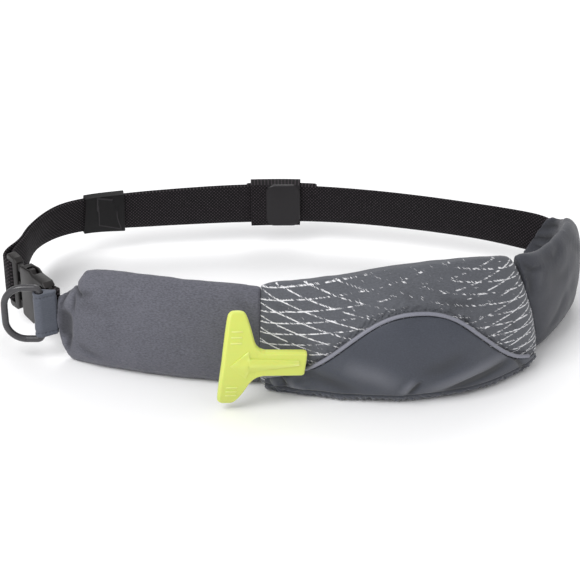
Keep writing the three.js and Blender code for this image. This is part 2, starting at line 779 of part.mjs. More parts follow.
function ringTab() {
  const root = neckEnd(neckOuter - TAB_CLOTH - SEAM_GAP);
  const loop = wrapLoop(root, awayFromNeck, ringBar, RING_WIRE / 2, TAB_CLOTH, TAB_WIDTH);
  return loop.translate(0, 0, RING_CENTRE_HEIGHT - TAB_WIDTH / 2);
}

// The ring's centre line: a straight bar at x = 0 and a rounded bow that reaches out to -x.
function dRing() {
  const half = (RING_HEIGHT - RING_WIRE) / 2;
  const reach = RING_REACH - RING_WIRE;
  const corner = RING_CORNER;
  const bow = RING_BOW;
  const outline = new THREE.Path();
  outline.moveTo(0, -half + corner);
  outline.lineTo(0, half - corner);
  outline.absarc(-corner, half - corner, corner, 0, Math.PI / 2, false);
  outline.lineTo(-reach + bow, half);
  outline.absarc(-reach + bow, half - bow, bow, Math.PI / 2, Math.PI, false);
  outline.lineTo(-reach, -half + bow);
  outline.absarc(-reach + bow, -half + bow, bow, Math.PI, 1.5 * Math.PI, false);
  outline.lineTo(-corner, -half);
  outline.absarc(-corner, -half + corner, corner, 1.5 * Math.PI, 2 * Math.PI, false);
  const points = outline.getPoints(6);
  points.pop();
  const line = points.filter((p, i) => i === 0 || p.distanceTo(points[i - 1]) > 0.01);
  const sides = 10;
  const rings = line.map((p, i) => {
    const before = line[(i + line.length - 1) % line.length];
    const after = line[(i + 1) % line.length];
    const along = after.clone().sub(before).normalize();
    return Array.from({ length: sides }, (_, k) => {
      const turn = (2 * Math.PI * (k + 0.5)) / sides;
      const across = (RING_WIRE / 2) * Math.cos(turn);
      const through = (RING_WIRE / 2) * Math.sin(turn);
      return new THREE.Vector3(p.x + along.y * across, through, p.y - along.x * across);
    });
  });
  const count = rings.length;
  const positions = rings.flat().flatMap((p) => [p.x, p.y, p.z]);
  const faces = [];
  for (let ring = 0; ring < count; ring += 1) {
    for (let k = 0; k < sides; k += 1) {
      const next = ((ring + 1) % count) * sides;
      const [a, b] = [ring * sides + k, ring * sides + ((k + 1) % sides)];
      faces.push(a, b, next + ((k + 1) % sides), a, next + ((k + 1) % sides), next + k);
    }
  }
  return facingOut(positions, faces);
}

// The webbing's line runs from inside the wing's mouth to the buckle's wrap bar. Outwards is away from
// the wearer, as on the front.
const wrapRadius = (BUCKLE_BAR / 2) * Math.SQRT2 + RUN_GAP + WEBBING_THICKNESS / 2;
const layerStep = WEBBING_THICKNESS + RUN_GAP;
const pocketMiddle = WING_DEPTH * (WING_SECTIONS.at(-1).out + WING_SECTIONS.at(-1).depth / 2);

function inBuckle(x, y) {
  const side = new THREE.Vector2(-buckleAxis.y, buckleAxis.x);
  return buckleOrigin.clone().addScaledVector(buckleAxis, x).addScaledVector(side, y);
}

function traceWebbing() {
  const mouth = front.offset(wingEnd, pocketMiddle);
  const inside = [MOUTH_POCKET_DEPTH - 1, MOUTH_POCKET_DEPTH / 2].map((depth) =>
    front.offset(wingEnd - depth, pocketMiddle),
  );
  const bar = inBuckle(wrapBar, wrapRadius);
  const approach = inBuckle(wrapBar - 2 * wrapRadius, wrapRadius + 0.6);
  const chord = bar.clone().sub(mouth);
  const length = chord.length();
  chord.normalize();
  const back = new THREE.Vector2(chord.y, -chord.x);
  const run = WEBBING_RUN.map(({ along, out }) =>
    mouth
      .clone()
      .addScaledVector(chord, along * length)
      .addScaledVector(back, out * BACK_REACH),
  );
  const points = [...inside, mouth, ...run, approach, bar];
  const curve = new THREE.CatmullRomCurve3(
    points.map((p) => new THREE.Vector3(p.x, p.y, 0)),
    false,
    "centripetal",
  );
  const samples = curve.getPoints(points.length * 40);
  return new PlanLine(samples.map((p) => new THREE.Vector2(p.x, p.y)));
}

const webbing = traceWebbing();
const foldAt = webbing.length - TAIL_LENGTH;

// Distance of the tail's layer from the belt's own layer: they part to wrap the buckle's bar.
function tailOffset(s) {
  const share = smoothStep(1 - (webbing.length - s) / TAIL_PARTING_LENGTH);
  return layerStep + (2 * wrapRadius - layerStep) * share;
}

// A point of the belt: length along it, distance outwards and height above its middle.
function onBelt(s, outwards, up) {
  const lean = MOST_LEAN * readTable(WEBBING_LEAN, "along", "lean", s / webbing.length);
  const p = webbing.offset(s, outwards - (lean * up) / WEBBING_WIDTH);
  return new THREE.Vector3(p.x, p.y, BELT_CENTRE_HEIGHT + up);
}

// A rectangle across the belt between two distances outwards and up to a half height.
function beltRing(s, inner, outer, half) {
  return [
    [inner, -half],
    [outer, -half],
    [outer, half],
    [inner, half],
  ].map(([outwards, up]) => onBelt(s, outwards, up));
}

// Places along the belt between two lengths, about a step apart.
function stations(from, to) {
  const count = Math.max(1, Math.round(Math.abs(to - from) / WEBBING_STEP));
  return evenly(count).map((t) => from + (to - from) * t);
}

// The strap turns round a half circle in plan, from one ring to another, bulging to one side.
function turnStrap(from, to, bulge, count) {
  const angles = Array.from({ length: count }, (_, i) => (Math.PI * (i + 1)) / (count + 1));
  const middle = from.map((p, k) => p.clone().add(to[k]).multiplyScalar(0.5));
  return angles.map((angle) =>
    from.map((p, k) => {
      const across = p.clone().sub(middle[k]);
      return middle[k]
        .clone()
        .addScaledVector(across, Math.cos(angle))
        .addScaledVector(bulge, Math.sin(angle) * across.length());
    }),
  );
}

function beltWebbing() {
  const half = WEBBING_WIDTH / 2;
  const thick = WEBBING_THICKNESS / 2;
  const end = webbing.length - 0.01;
  // A ring whose first side is the one that faces the wearer on the way out to the buckle.
  const ringAt = (s, offset, returning) => {
    const [low, high] = [offset - thick, offset + thick];
    return returning ? beltRing(s, high, low, half) : beltRing(s, low, high, half);
  };
  const own = stations(0.01, foldAt).map((s) => ringAt(s, 0, false));
  const shared = stations(foldAt, end);
  const belt = shared.slice(1).map((s) => ringAt(s, 0, false));
  const tail = shared.toReversed().map((s) => ringAt(s, tailOffset(s), true));
  const folded = stations(foldAt, foldAt + TAIL_FOLD_LENGTH);
  const fold = folded.map((s) => ringAt(s, 2 * layerStep, false));
  const outOf = (direction) => new THREE.Vector3(direction.x, direction.y, 0);
  const wrap = turnStrap(belt.at(-1), tail[0], outOf(buckleAxis), 7);
  const backwards = outOf(webbing.direction(foldAt).negate());
  const folding = turnStrap(tail.at(-1), fold[0], backwards, 3);
  return loft([...own, ...belt, ...wrap, ...tail, ...folding, ...fold]);
}

// A block that follows the belt between two lengths, two distances outwards and a half height.
function beltBlock(from, to, inner, outer, half) {
  const count = Math.max(2, Math.round((to - from) / WEBBING_STEP));
  return loft(evenly(count).map((t) => beltRing(from + (to - from) * t, inner, outer, half)));
}

// A sleeve round a number of webbing layers.
function sleeve(centre, length, wall, layers) {
  const clear = RUN_GAP + SLEEVE_EASE;
  const inner = -WEBBING_THICKNESS / 2 - clear;
  const outer = WEBBING_THICKNESS / 2 + layerStep * (layers - 1) + clear;
  const half = WEBBING_WIDTH / 2 + RUN_GAP;
  const [from, to] = [centre - length / 2, centre + length / 2];
  const outside = beltBlock(from, to, inner - wall, outer + wall, half + wall);
  const hollow = beltBlock(from - 2, to + 2, inner, outer, half);
  return toSolid(outside).subtract(toSolid(hollow));
}

const keeperCentre = webbing.length - KEEPER_FROM_BUCKLE;
const slideCentre = foldAt + SLIDE_FROM_FOLD;

function beltKeeper() {
  return toGeometry(sleeve(keeperCentre, KEEPER_LENGTH, KEEPER_WALL, 2));
}

// The slide is a moulded sleeve with a broad rounded plate on the wearer's side.
function beltSlide() {
  const plate = new THREE.Shape();
  const [w, h, r] = [SLIDE_PLATE_LENGTH / 2, SLIDE_PLATE_HEIGHT / 2, SLIDE_PLATE_CORNER];
  plate.moveTo(-w + r, -h);
  plate.lineTo(w - r, -h);
  plate.absarc(w - r, -h + r, r, -Math.PI / 2, 0, false);
  plate.lineTo(w, h - r);
  plate.absarc(w - r, h - r, r, 0, Math.PI / 2, false);
  plate.lineTo(-w + r, h);
  plate.absarc(-w + r, h - r, r, Math.PI / 2, Math.PI, false);
  plate.lineTo(-w, -h + r);
  plate.absarc(-w + r, -h + r, r, Math.PI, 1.5 * Math.PI, false);
  const bevel = 0.8;
  const geometry = new THREE.ExtrudeGeometry(plate, {
    depth: SLIDE_PLATE_THICKNESS - bevel,
    bevelSize: bevel,
    bevelOffset: -bevel,
    bevelThickness: bevel,
    bevelSegments: 1,
    curveSegments: 4,
  });
  const centre = slideCentre - SLIDE_PLATE_SHIFT;
  const along = webbing.direction(centre);
  const clear = WEBBING_THICKNESS / 2 + RUN_GAP + SLEEVE_EASE + SLIDE_WALL / 2;
  const sideways = new THREE.Vector3(-along.x, -along.y, 0);
  const upwards = onBelt(centre, -clear, 1).sub(onBelt(centre, -clear, -1)).normalize();
  const inwards = sideways.clone().cross(upwards);
  const place = new THREE.Matrix4().makeBasis(sideways, upwards, inwards);
  place.setPosition(onBelt(centre, -clear, 0));
  geometry.applyMatrix4(place);
  const body = sleeve(slideCentre, SLIDE_LENGTH, SLIDE_WALL, 3);
  return toGeometry(body.add(toSolid(geometry)));
}

// The wing's mouth is a pocket that the webbing is sewn into.
function wing() {
  const half = WEBBING_WIDTH / 2 + RUN_GAP;
  const deep = WEBBING_THICKNESS / 2 + RUN_GAP;
  const ring = (s) => beltRing(s, -deep, deep, half);
  const back = webbing.direction(0.01).multiplyScalar(-1);
  const start = ring(0.01).map((p) => p.add(new THREE.Vector3(back.x, back.y, 0)));
  const cut = stations(0.01, MOUTH_POCKET_DEPTH + MOUTH_CLEARANCE_LENGTH);
  const pocket = loft([start, ...cut.map(ring)]);
  return toGeometry(toSolid(wingBody.solid(WING_RINGS)).subtract(toSolid(pocket)));
}

// The handle's own frame: x runs along the stem and ends at 0, z runs along the bar, and its face is
// towards -y. The whole handle is arched, so that the bar's tips lie further back.
function archHandle(geometry) {
  const position = geometry.attributes.position;
  for (let i = 0; i < position.count; i += 1) {
    const reach = position.getZ(i) / (HANDLE_BAR_LENGTH / 2);
    position.setY(i, position.getY(i) + HANDLE_ARCH * reach * reach);
  }
  return geometry;
}

// A rounded oblong section, from one edge to the other and through the handle's thickness.
function handleSection(from, to, thin = 0) {
  const round = Math.min(1.6, (to - from) / 3);
  const back = -thin;
  const face = -HANDLE_THICKNESS + thin;
  return [
    [from, face + round],
    [from + round, face],
    [(from + to) / 2, face],
    [to - round, face],
    [to, face + round],
    [to, back - round],
    [to - round, back],
    [(from + to) / 2, back],
    [from + round, back],
    [from, back - round],
  ];
}

function handleBar() {
  const half = HANDLE_BAR_LENGTH / 2;
  const ring = (side, { reach, left, right, thin }) =>
    handleSection(-HANDLE_REACH * left, -HANDLE_REACH * right, thin).map(
      ([x, y]) => new THREE.Vector3(x, y, side * half * reach),
    );
  const lower = HANDLE_BAR.slice(1).toReversed().map((row) => ring(-1, row));
  const upper = HANDLE_BAR.map((row) => ring(1, row));
  return archHandle(loft([...lower, ...upper]));
}

function handleStem() {
  const rings = HANDLE_STEM.map(({ along, half, thin }) => {
    const width = (HANDLE_STEM_WIDTH / 2) * half;
    return handleSection(-width, width, thin).map(
      ([z, y]) => new THREE.Vector3(-HANDLE_REACH * along, y, z),
    );
  });
  return archHandle(loft(rings));
}

// A raised arrow on the bar that runs on as a rib along the stem.
function handleRib() {
  const face = -HANDLE_THICKNESS + 0.6;
  const rings = HANDLE_RIB.map(({ along, half, raise }) =>
    [
      [half, 0],
      [0, -0.6 - raise],
      [-half, 0],
      [0, 2],
    ].map(([z, y]) => new THREE.Vector3(-HANDLE_REACH * along, face + y, z)),
  );
  return archHandle(loft(rings));
}

const handleShare = HANDLE_END_ALONG / POUCH_LENGTH;
const localHeight = POUCH_HEIGHT * readTable(POUCH_SECTIONS, "along", "height", handleShare);
const handleUp = HANDLE_HEIGHT / localHeight;

function placeHandle(mesh) {
  const lean = HANDLE_STEM_WIDTH / 2 / localHeight;
  const clear = PIPING_DIAMETER + 2 * SEAM_GAP;
  const seats = [-lean, 0, lean].map((up) => onPouch(handleShare, handleUp + up, clear));
  const seat = onPouch(handleShare, handleUp, 0);
  mesh.position.set(seat.x, Math.min(...seats.map((p) => p.y)), HANDLE_HEIGHT);
  const roll = THREE.MathUtils.degToRad(HANDLE_ROLL);
  const yaw = THREE.MathUtils.degToRad(HANDLE_YAW);
  mesh.rotation.set(0, roll, yaw, "ZYX");
  mesh.updateMatrix();
  return mesh;
}

// The short strap that holds the handle: from the back of the stem's end into the pouch.
function handleStrap(handle) {
  const near = LANYARD_FROM_END;
  const far = near + LANYARD_THICKNESS;
  const half = LANYARD_WIDTH / 2;
  const corners = [
    [near, -half],
    [near, half],
    [far, half],
    [far, -half],
  ];
  const atHandle = corners.map(([x, z]) =>
    new THREE.Vector3(-x, 2 * SEAM_GAP, z).applyMatrix4(handle.matrix),
  );
  const atPouch = corners.map(([x, z]) =>
    onPouch(handleShare - x / POUCH_LENGTH, handleUp + z / localHeight, SEAM_GAP),
  );
  return loft([atHandle, atPouch]);
}

function piece(name, geometry, look) {
  const mesh = new THREE.Mesh(geometry, new THREE.MeshStandardMaterial(COLOURS[look]));
  mesh.name = name;
  return mesh;
}

const handleBody = joinAll([handleBar(), handleStem(), handleRib()]);
const handle = placeHandle(piece("pull_handle", toGeometry(handleBody), "limePlastic"));

const pack = new THREE.Group();
pack.add(
  piece("side_panel", panelBody.solid(PANEL_RINGS), "cloth"),
  piece("pouch", pouchBody.solid(POUCH_RINGS), "printedCloth"),
  piece("side_wing", wing(), "cloth"),
  piece("lower_cover", lowerCover(), "coverCloth"),
  piece("piping", piping(), "piping"),
  piece("belt_webbing", beltWebbing(), "webbing"),
  piece("belt_keeper", beltKeeper(), "webbing"),
  piece("belt_slide", beltSlide(), "blackPlastic"),
  piece("anchor_strap", anchorStrap(), "webbing"),
  piece("ring_tab", ringTab(), "cloth"),
  piece("handle_strap", handleStrap(handle), "webbing"),
  handle,
);
buckle.add(
  piece("buckle_socket", buckleSocket(), "blackPlastic"),
  piece("buckle_plug", bucklePlug(), "blackPlastic"),
);
const ring = piece("d_ring", dRing(), "greyPlastic");
ring.position.set(ringBar.x, ringBar.y, RING_CENTRE_HEIGHT);
pack.add(buckle, ring);

// The part's origin is the middle of its box, on the floor.
pack.updateMatrixWorld(true);
const box = new THREE.Box3().setFromObject(pack, true);
const middle = box.getCenter(new THREE.Vector3());
pack.position.set(-middle.x, -middle.y, -box.min.z);
const part = new THREE.Group();
part.add(pack);

export default part;
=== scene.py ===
"""Looks of an inflatable belt pack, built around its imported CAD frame.

The pack has a padded front of three sewn bodies, a webbing belt with a keeper and a slide, a side-release
buckle, a D-ring on a cloth tab and a T-shaped pull handle. Every length in this script is in millimetres
until it is handed to Blender, which works in metres. Cloth patterns follow the attribute "place", which
holds each point's length along the waist, its height and its distance from the wearer's side.
"""

import logging
import math
import random
from dataclasses import dataclass, field
from enum import Enum

import bmesh
import bpy
import numpy as np
from mathutils import Matrix, Vector
from mathutils.bvhtree import BVHTree


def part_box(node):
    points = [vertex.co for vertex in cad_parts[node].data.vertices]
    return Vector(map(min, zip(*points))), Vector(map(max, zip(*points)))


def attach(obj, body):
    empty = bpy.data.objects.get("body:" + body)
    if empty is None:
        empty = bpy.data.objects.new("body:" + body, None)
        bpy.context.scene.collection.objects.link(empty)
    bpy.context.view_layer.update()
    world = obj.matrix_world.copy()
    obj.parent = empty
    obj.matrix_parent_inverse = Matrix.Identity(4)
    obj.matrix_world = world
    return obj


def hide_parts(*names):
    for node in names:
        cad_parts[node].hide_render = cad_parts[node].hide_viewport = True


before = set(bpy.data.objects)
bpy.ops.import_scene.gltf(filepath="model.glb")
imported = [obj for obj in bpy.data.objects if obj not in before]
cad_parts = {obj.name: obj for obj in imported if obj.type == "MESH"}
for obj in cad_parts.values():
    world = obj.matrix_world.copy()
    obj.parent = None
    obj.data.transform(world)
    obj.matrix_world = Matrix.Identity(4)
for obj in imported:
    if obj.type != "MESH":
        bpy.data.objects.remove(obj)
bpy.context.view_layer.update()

LOG = logging.getLogger("belt_pack")
MM = 0.001
BODY = "root"
PLACE = "place"
FACING = "facing"
FOLD_LIGHT_PAINT = "fold_light_paint"
MERGE_DISTANCE = 0.02


class Side(Enum):
    """The side of a padded body that a fold or a seam lies on."""

    OUTER = 1
    BOTH = 0


class Slot(Enum):
    """The record's material slots."""

    HEATHER_CLOTH = "heather_cloth"
    PRINTED_CLOTH = "printed_cloth"
    PLAIN_CLOTH = "plain_cloth"
    PIPING_CORD = "piping_cord"
    WEBBING = "webbing"
    BLACK_PLASTIC = "black_plastic"
    GREY_PLASTIC = "grey_plastic"
    LIME_PLASTIC = "lime_plastic"


# Helpers for meshes


def mesh_points(mesh: bpy.types.Mesh) -> np.ndarray:
    """Reads a mesh's points.

    Args:
        mesh: the mesh to read.

    Returns:
        An array of points in metres, one row each.
    """
    points = np.zeros(len(mesh.vertices) * 3)
    mesh.vertices.foreach_get("co", points)
    return points.reshape(-1, 3)


def mesh_normals(mesh: bpy.types.Mesh) -> np.ndarray:
    """Reads the direction in which each point of a mesh faces.

    Args:
        mesh: the mesh to read.

    Returns:
        An array of unit vectors, one row each.
    """
    normals = np.zeros(len(mesh.vertices) * 3)
    mesh.vertices.foreach_get("normal", normals)
    return normals.reshape(-1, 3)


def set_points(mesh: bpy.types.Mesh, points: np.ndarray) -> None:
    """Writes a mesh's points, given in metres."""
    mesh.vertices.foreach_set("co", points.astype(np.float32).ravel())
    mesh.update()


def new_object(name: str, shape: bmesh.types.BMesh) -> bpy.types.Object:
    """Makes an object at the origin from a bmesh, which is freed.

    Args:
        name: the piece's name.
        shape: the finished bmesh.

    Returns:
        The new object, linked to the scene.
    """
    mesh = bpy.data.meshes.new(name)
    shape.to_mesh(mesh)
    shape.free()
    made = bpy.data.objects.new(name, mesh)
    bpy.context.scene.collection.objects.link(made)
    return made


def node_shape(node: str) -> bmesh.types.BMesh:
    """Copies a CAD node's mesh with its loose triangles merged.

    Args:
        node: the CAD node's name.

    Returns:
        A bmesh of the node's surface.
    """
    shape = bmesh.new()
    shape.from_mesh(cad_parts[node].data)
    bmesh.ops.remove_doubles(shape, verts=shape.verts, dist=MERGE_DISTANCE * MM)
    bmesh.ops.dissolve_degenerate(shape, edges=shape.edges, dist=MERGE_DISTANCE * MM)
    return shape


def apply_modifiers(piece: bpy.types.Object) -> None:
    """Replaces a piece's mesh with what its modifiers make of it.

    Args:
        piece: the object, whose modifiers are then removed.
    """
    graph = bpy.context.evaluated_depsgraph_get()
    mesh = bpy.data.meshes.new_from_object(piece.evaluated_get(graph))
    piece.modifiers.clear()
    piece.data = mesh


def subdivide(piece: bpy.types.Object, levels: int) -> None:
    """Applies smooth subdivision to a piece.

    Args:
        piece: the object to refine.
        levels: how often each face is divided.
    """
    modifier = piece.modifiers.new("Subdivision", "SUBSURF")
    modifier.levels = levels
    modifier.render_levels = levels
    apply_modifiers(piece)


def voxel_remesh(piece: bpy.types.Object, voxel: float) -> None:
    """Rebuilds a piece's surface from even small squares.

    Args:
        piece: the object to rebuild.
        voxel: the size of a square in millimetres.
    """
    modifier = piece.modifiers.new("Remesh", "REMESH")
    modifier.mode = "VOXEL"
    modifier.voxel_size = voxel * MM
    apply_modifiers(piece)


def shade_smooth(piece: bpy.types.Object, angle: float = 180.0) -> None:
    """Shades a piece smooth, with hard edges where faces turn by more than an angle.

    Args:
        piece: the object to shade.
        angle: the turn in degrees past which an edge is hard.
    """
    piece.data.polygons.foreach_set("use_smooth", [True] * len(piece.data.polygons))
    if angle < 180.0:
        piece.data.set_sharp_from_angle(angle=math.radians(angle))


def node_surface(node: str) -> BVHTree:
    """Makes a tree for finding places on a CAD node's surface.

    Args:
        node: the CAD node's name.

    Returns:
        The search tree.
    """
    shape = node_shape(node)
    bmesh.ops.recalc_face_normals(shape, faces=shape.faces)
    tree = BVHTree.FromBMesh(shape)
    shape.free()
    return tree


def surface_of(piece: bpy.types.Object) -> BVHTree:
    """Makes a tree for finding places on a piece's surface.

    Args:
        piece: the object to search.

    Returns:
        The search tree.
    """
    mesh = piece.data
    polygons = [tuple(face.vertices) for face in mesh.polygons]
    return BVHTree.FromPolygons([v.co for v in mesh.vertices], polygons)


def outward(points: np.ndarray, normals: np.ndarray) -> np.ndarray:
    """Tells how far each point faces away from the wearer: 1 where it does, -1 where it faces them."""
    away = points[:, :2] / np.maximum(np.linalg.norm(points[:, :2], axis=1, keepdims=True), 1e-9)
    return (normals[:, :2] * away).sum(axis=1)


def nearest_gap(points: np.ndarray, trees: list[BVHTree]) -> np.ndarray:
    """Measures each point's least distance from a set of surfaces, in millimetres."""
    return np.array([min(tree.find_nearest(Vector(p))[3] for tree in trees) / MM for p in points])


def soft_step(low: float, high: float, values: np.ndarray) -> np.ndarray:
    """Rises smoothly from 0 to 1 between two limits."""
    share = np.clip((values - low) / (high - low), 0.0, 1.0)
    return share * share * (3.0 - 2.0 * share)


def hump(values: np.ndarray, centre: float, reach: float) -> np.ndarray:
    """Rises smoothly to 1 at a centre, and falls to about a third at its reach."""
    return np.exp(-(((values - centre) / reach) ** 2))


@dataclass(frozen=True)
class Ripple:
    """Waves of random directions, as small wrinkles in cloth have.

    It holds the seed of the draws, how many waves are added, their mean length and their height.
    """

    seed: int
    count: int
    pitch: float
    height: float

    def at(self, values: np.ndarray, across: np.ndarray) -> np.ndarray:
        """Adds up the waves.

        Args:
            values: lengths along the cloth in millimetres.
            across: lengths across the cloth in millimetres.

        Returns:
            The sum at each place, mostly within the height.
        """
        draw = random.Random(self.seed)
        total = np.zeros_like(values)
        for _ in range(self.count):
            turn = draw.uniform(0.0, math.pi)
            length = self.pitch * draw.uniform(0.6, 1.7)
            phase = draw.uniform(0.0, 2.0 * math.pi)
            run = values * math.cos(turn) + across * math.sin(turn)
            total += np.sin(2.0 * math.pi * run / length + phase)
        return total / math.sqrt(self.count) * self.height


def store_values(piece: bpy.types.Object, name: str, values: np.ndarray) -> None:
    """Keeps a number, or a vector of three, for each of a piece's points.

    Args:
        piece: the object, whose points are counted.
        name: the attribute's name.
        values: a number or a row of three for each point.
    """
    kind, entry = ("FLOAT", "value") if values.ndim == 1 else ("FLOAT_VECTOR", "vector")
    kept = piece.data.attributes.new(name, kind, "POINT")
    kept.data.foreach_set(entry, values.astype(np.float32).ravel())


def join_quads(shape: bmesh.types.BMesh, face_angle: float, shape_angle: float) -> None:
    """Joins a shape's triangles to four-sided faces, within two angles in degrees."""
    bmesh.ops.join_triangles(
        shape,
        faces=shape.faces,
        angle_face_threshold=math.radians(face_angle),
        angle_shape_threshold=math.radians(shape_angle),
    )


def sharp_edges(shape: bmesh.types.BMesh, angle: float) -> list[bmesh.types.BMEdge]:
    """Lists a shape's edges where its faces turn by more than an angle in degrees."""
    return [e for e in shape.edges if e.is_manifold and e.calc_face_angle(0.0) > math.radians(angle)]


def round_edges(
    shape: bmesh.types.BMesh, edges: list[bmesh.types.BMEdge], radius: float, segments: int
) -> None:
    """Rounds edges of a shape by a radius in millimetres."""
    bmesh.ops.bevel(
        shape,
        geom=edges,
        offset=radius * MM,
        offset_type="OFFSET",
        segments=segments,
        profile=0.5,
        affect="EDGES",
        clamp_overlap=True,
        material=-1,
    )


def even_out(piece: bpy.types.Object, rounds: int, least_up: float = -2.0) -> None:
    """Smooths a piece's points.

    Args:
        piece: the object to smooth.
        rounds: how often its points are evened out.
        least_up: how far a point has to face up to be smoothed, where the default takes every one.
    """
    shape = bmesh.new()
    shape.from_mesh(piece.data)
    chosen = [vert for vert in shape.verts if vert.normal.z > least_up]
    for _ in range(rounds):
        bmesh.ops.smooth_vert(
            shape, verts=chosen, factor=0.5, use_axis_x=True, use_axis_y=True, use_axis_z=True
        )
    shape.to_mesh(piece.data)
    shape.free()


# The waist's own coordinates


class WaistLine:
    """The closed line round the wearer's waist, which gives lengths along cloth and webbing.

    It is read from the frame: the distance from the middle to the wearer's side, at every angle.
    """

    CUT_ANGLE = math.radians(-173.0)
    SAMPLES = 720
    MIDDLE_HEIGHT = 45.0
    SMOOTHING = 9
    STEPS = 14
    STEP_SHARE = 0.6

    def __init__(self, nodes: tuple[str, ...]) -> None:
        """Measures the line.

        Args:
            nodes: the CAD nodes that stand round the waist.
        """
        joined = bmesh.new()
        for name in nodes:
            joined.from_mesh(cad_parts[name].data)
        tree = BVHTree.FromBMesh(joined)
        joined.free()
        origin = Vector((0.0, 0.0, self.MIDDLE_HEIGHT * MM))
        self.angles = np.linspace(0.0, 2.0 * math.pi, self.SAMPLES + 1)
        reach = np.full(self.SAMPLES + 1, np.nan)
        for i, angle in enumerate(self.angles + self.CUT_ANGLE):
            hit = tree.ray_cast(origin, Vector((math.cos(angle), math.sin(angle), 0.0)))
            if hit[0] is not None:
                reach[i] = hit[3] / MM
        known = np.isfinite(reach)
        reach = np.interp(self.angles, self.angles[known], reach[known])
        ends = np.pad(reach, self.SMOOTHING, mode="edge")
        window = np.ones(2 * self.SMOOTHING + 1) / (2 * self.SMOOTHING + 1)
        self.reach = np.convolve(ends, window, mode="valid")
        turn = self.angles + self.CUT_ANGLE
        self.line = np.stack([self.reach * np.cos(turn), self.reach * np.sin(turn)], axis=1)
        run = np.linalg.norm(np.diff(self.line, axis=0), axis=1)
        self.lengths = np.concatenate([[0.0], np.cumsum(run)])
        slope = np.gradient(self.line, self.lengths, axis=0)
        self.slope = slope / np.linalg.norm(slope, axis=1, keepdims=True)

    def read(self, table: np.ndarray, at: np.ndarray) -> np.ndarray:
        """Reads a table of plane vectors at lengths along the line, in millimetres."""
        return np.stack([np.interp(at, self.lengths, table[:, axis]) for axis in (0, 1)], axis=1)

    def places(self, points: np.ndarray) -> np.ndarray:
        """Gives each point's length along the waist, height and distance from the wearer's side.

        Each point is led along the line, step by step, until it stands square to it.

        Args:
            points: points in metres.

        Returns:
            An array of three lengths in millimetres for each point.
        """
        flat = points[:, :2] / MM
        turn = np.mod(np.arctan2(flat[:, 1], flat[:, 0]) - self.CUT_ANGLE, 2.0 * math.pi)
        along = np.interp(turn, self.angles, self.lengths)
        for _ in range(self.STEPS):
            beyond = flat - self.read(self.line, along)
            ahead = (beyond * self.read(self.slope, along)).sum(axis=1)
            along = np.clip(along + self.STEP_SHARE * ahead, 0.0, self.lengths[-1])
        beyond = flat - self.read(self.line, along)
        slope = self.read(self.slope, along)
        out = beyond[:, 0] * slope[:, 1] - beyond[:, 1] * slope[:, 0]
        return np.stack([along, points[:, 2] / MM, out], axis=1)

    def store(self, piece: bpy.types.Object) -> None:
        """Keeps the places of a piece's points in its attribute.

        Args:
            piece: the object, whose mesh is final.
        """
        points = mesh_points(piece.data)
        store_values(piece, PLACE, self.places(points) * MM)
        store_values(piece, FACING, outward(points, mesh_normals(piece.data)))


# Finishes


def linear(code: str) -> tuple[float, float, float, float]:
    """Turns an sRGB hex colour to the linear values that Blender takes.

    Args:
        code: the colour, such as "5c5d63".

    Returns:
        Red, green, blue and a full alpha.
    """
    values = [int(code[i : i + 2], 16) / 255.0 for i in (0, 2, 4)]
    curve = [v / 12.92 if v <= 0.04045 else ((v + 0.055) / 1.055) ** 2.4 for v in values]
    return (*curve, 1.0)


def add_node(tree: bpy.types.NodeTree, kind: str, inputs: dict | None = None, **settings) -> bpy.types.Node:
    """Adds a shader node with its settings and links.

    Args:
        tree: the material's node tree.
        kind: the node's type, such as "ShaderNodeMath".
        inputs: a value or an output socket for each named or numbered input.
        **settings: the node's own settings.

    Returns:
        The new node.
    """
    made = tree.nodes.new(kind)
    for key, value in settings.items():
        setattr(made, key, value)
    for key, value in (inputs or {}).items():
        if isinstance(value, bpy.types.NodeSocket):
            tree.links.new(value, made.inputs[key])
        else:
            made.inputs[key].default_value = value
    return made


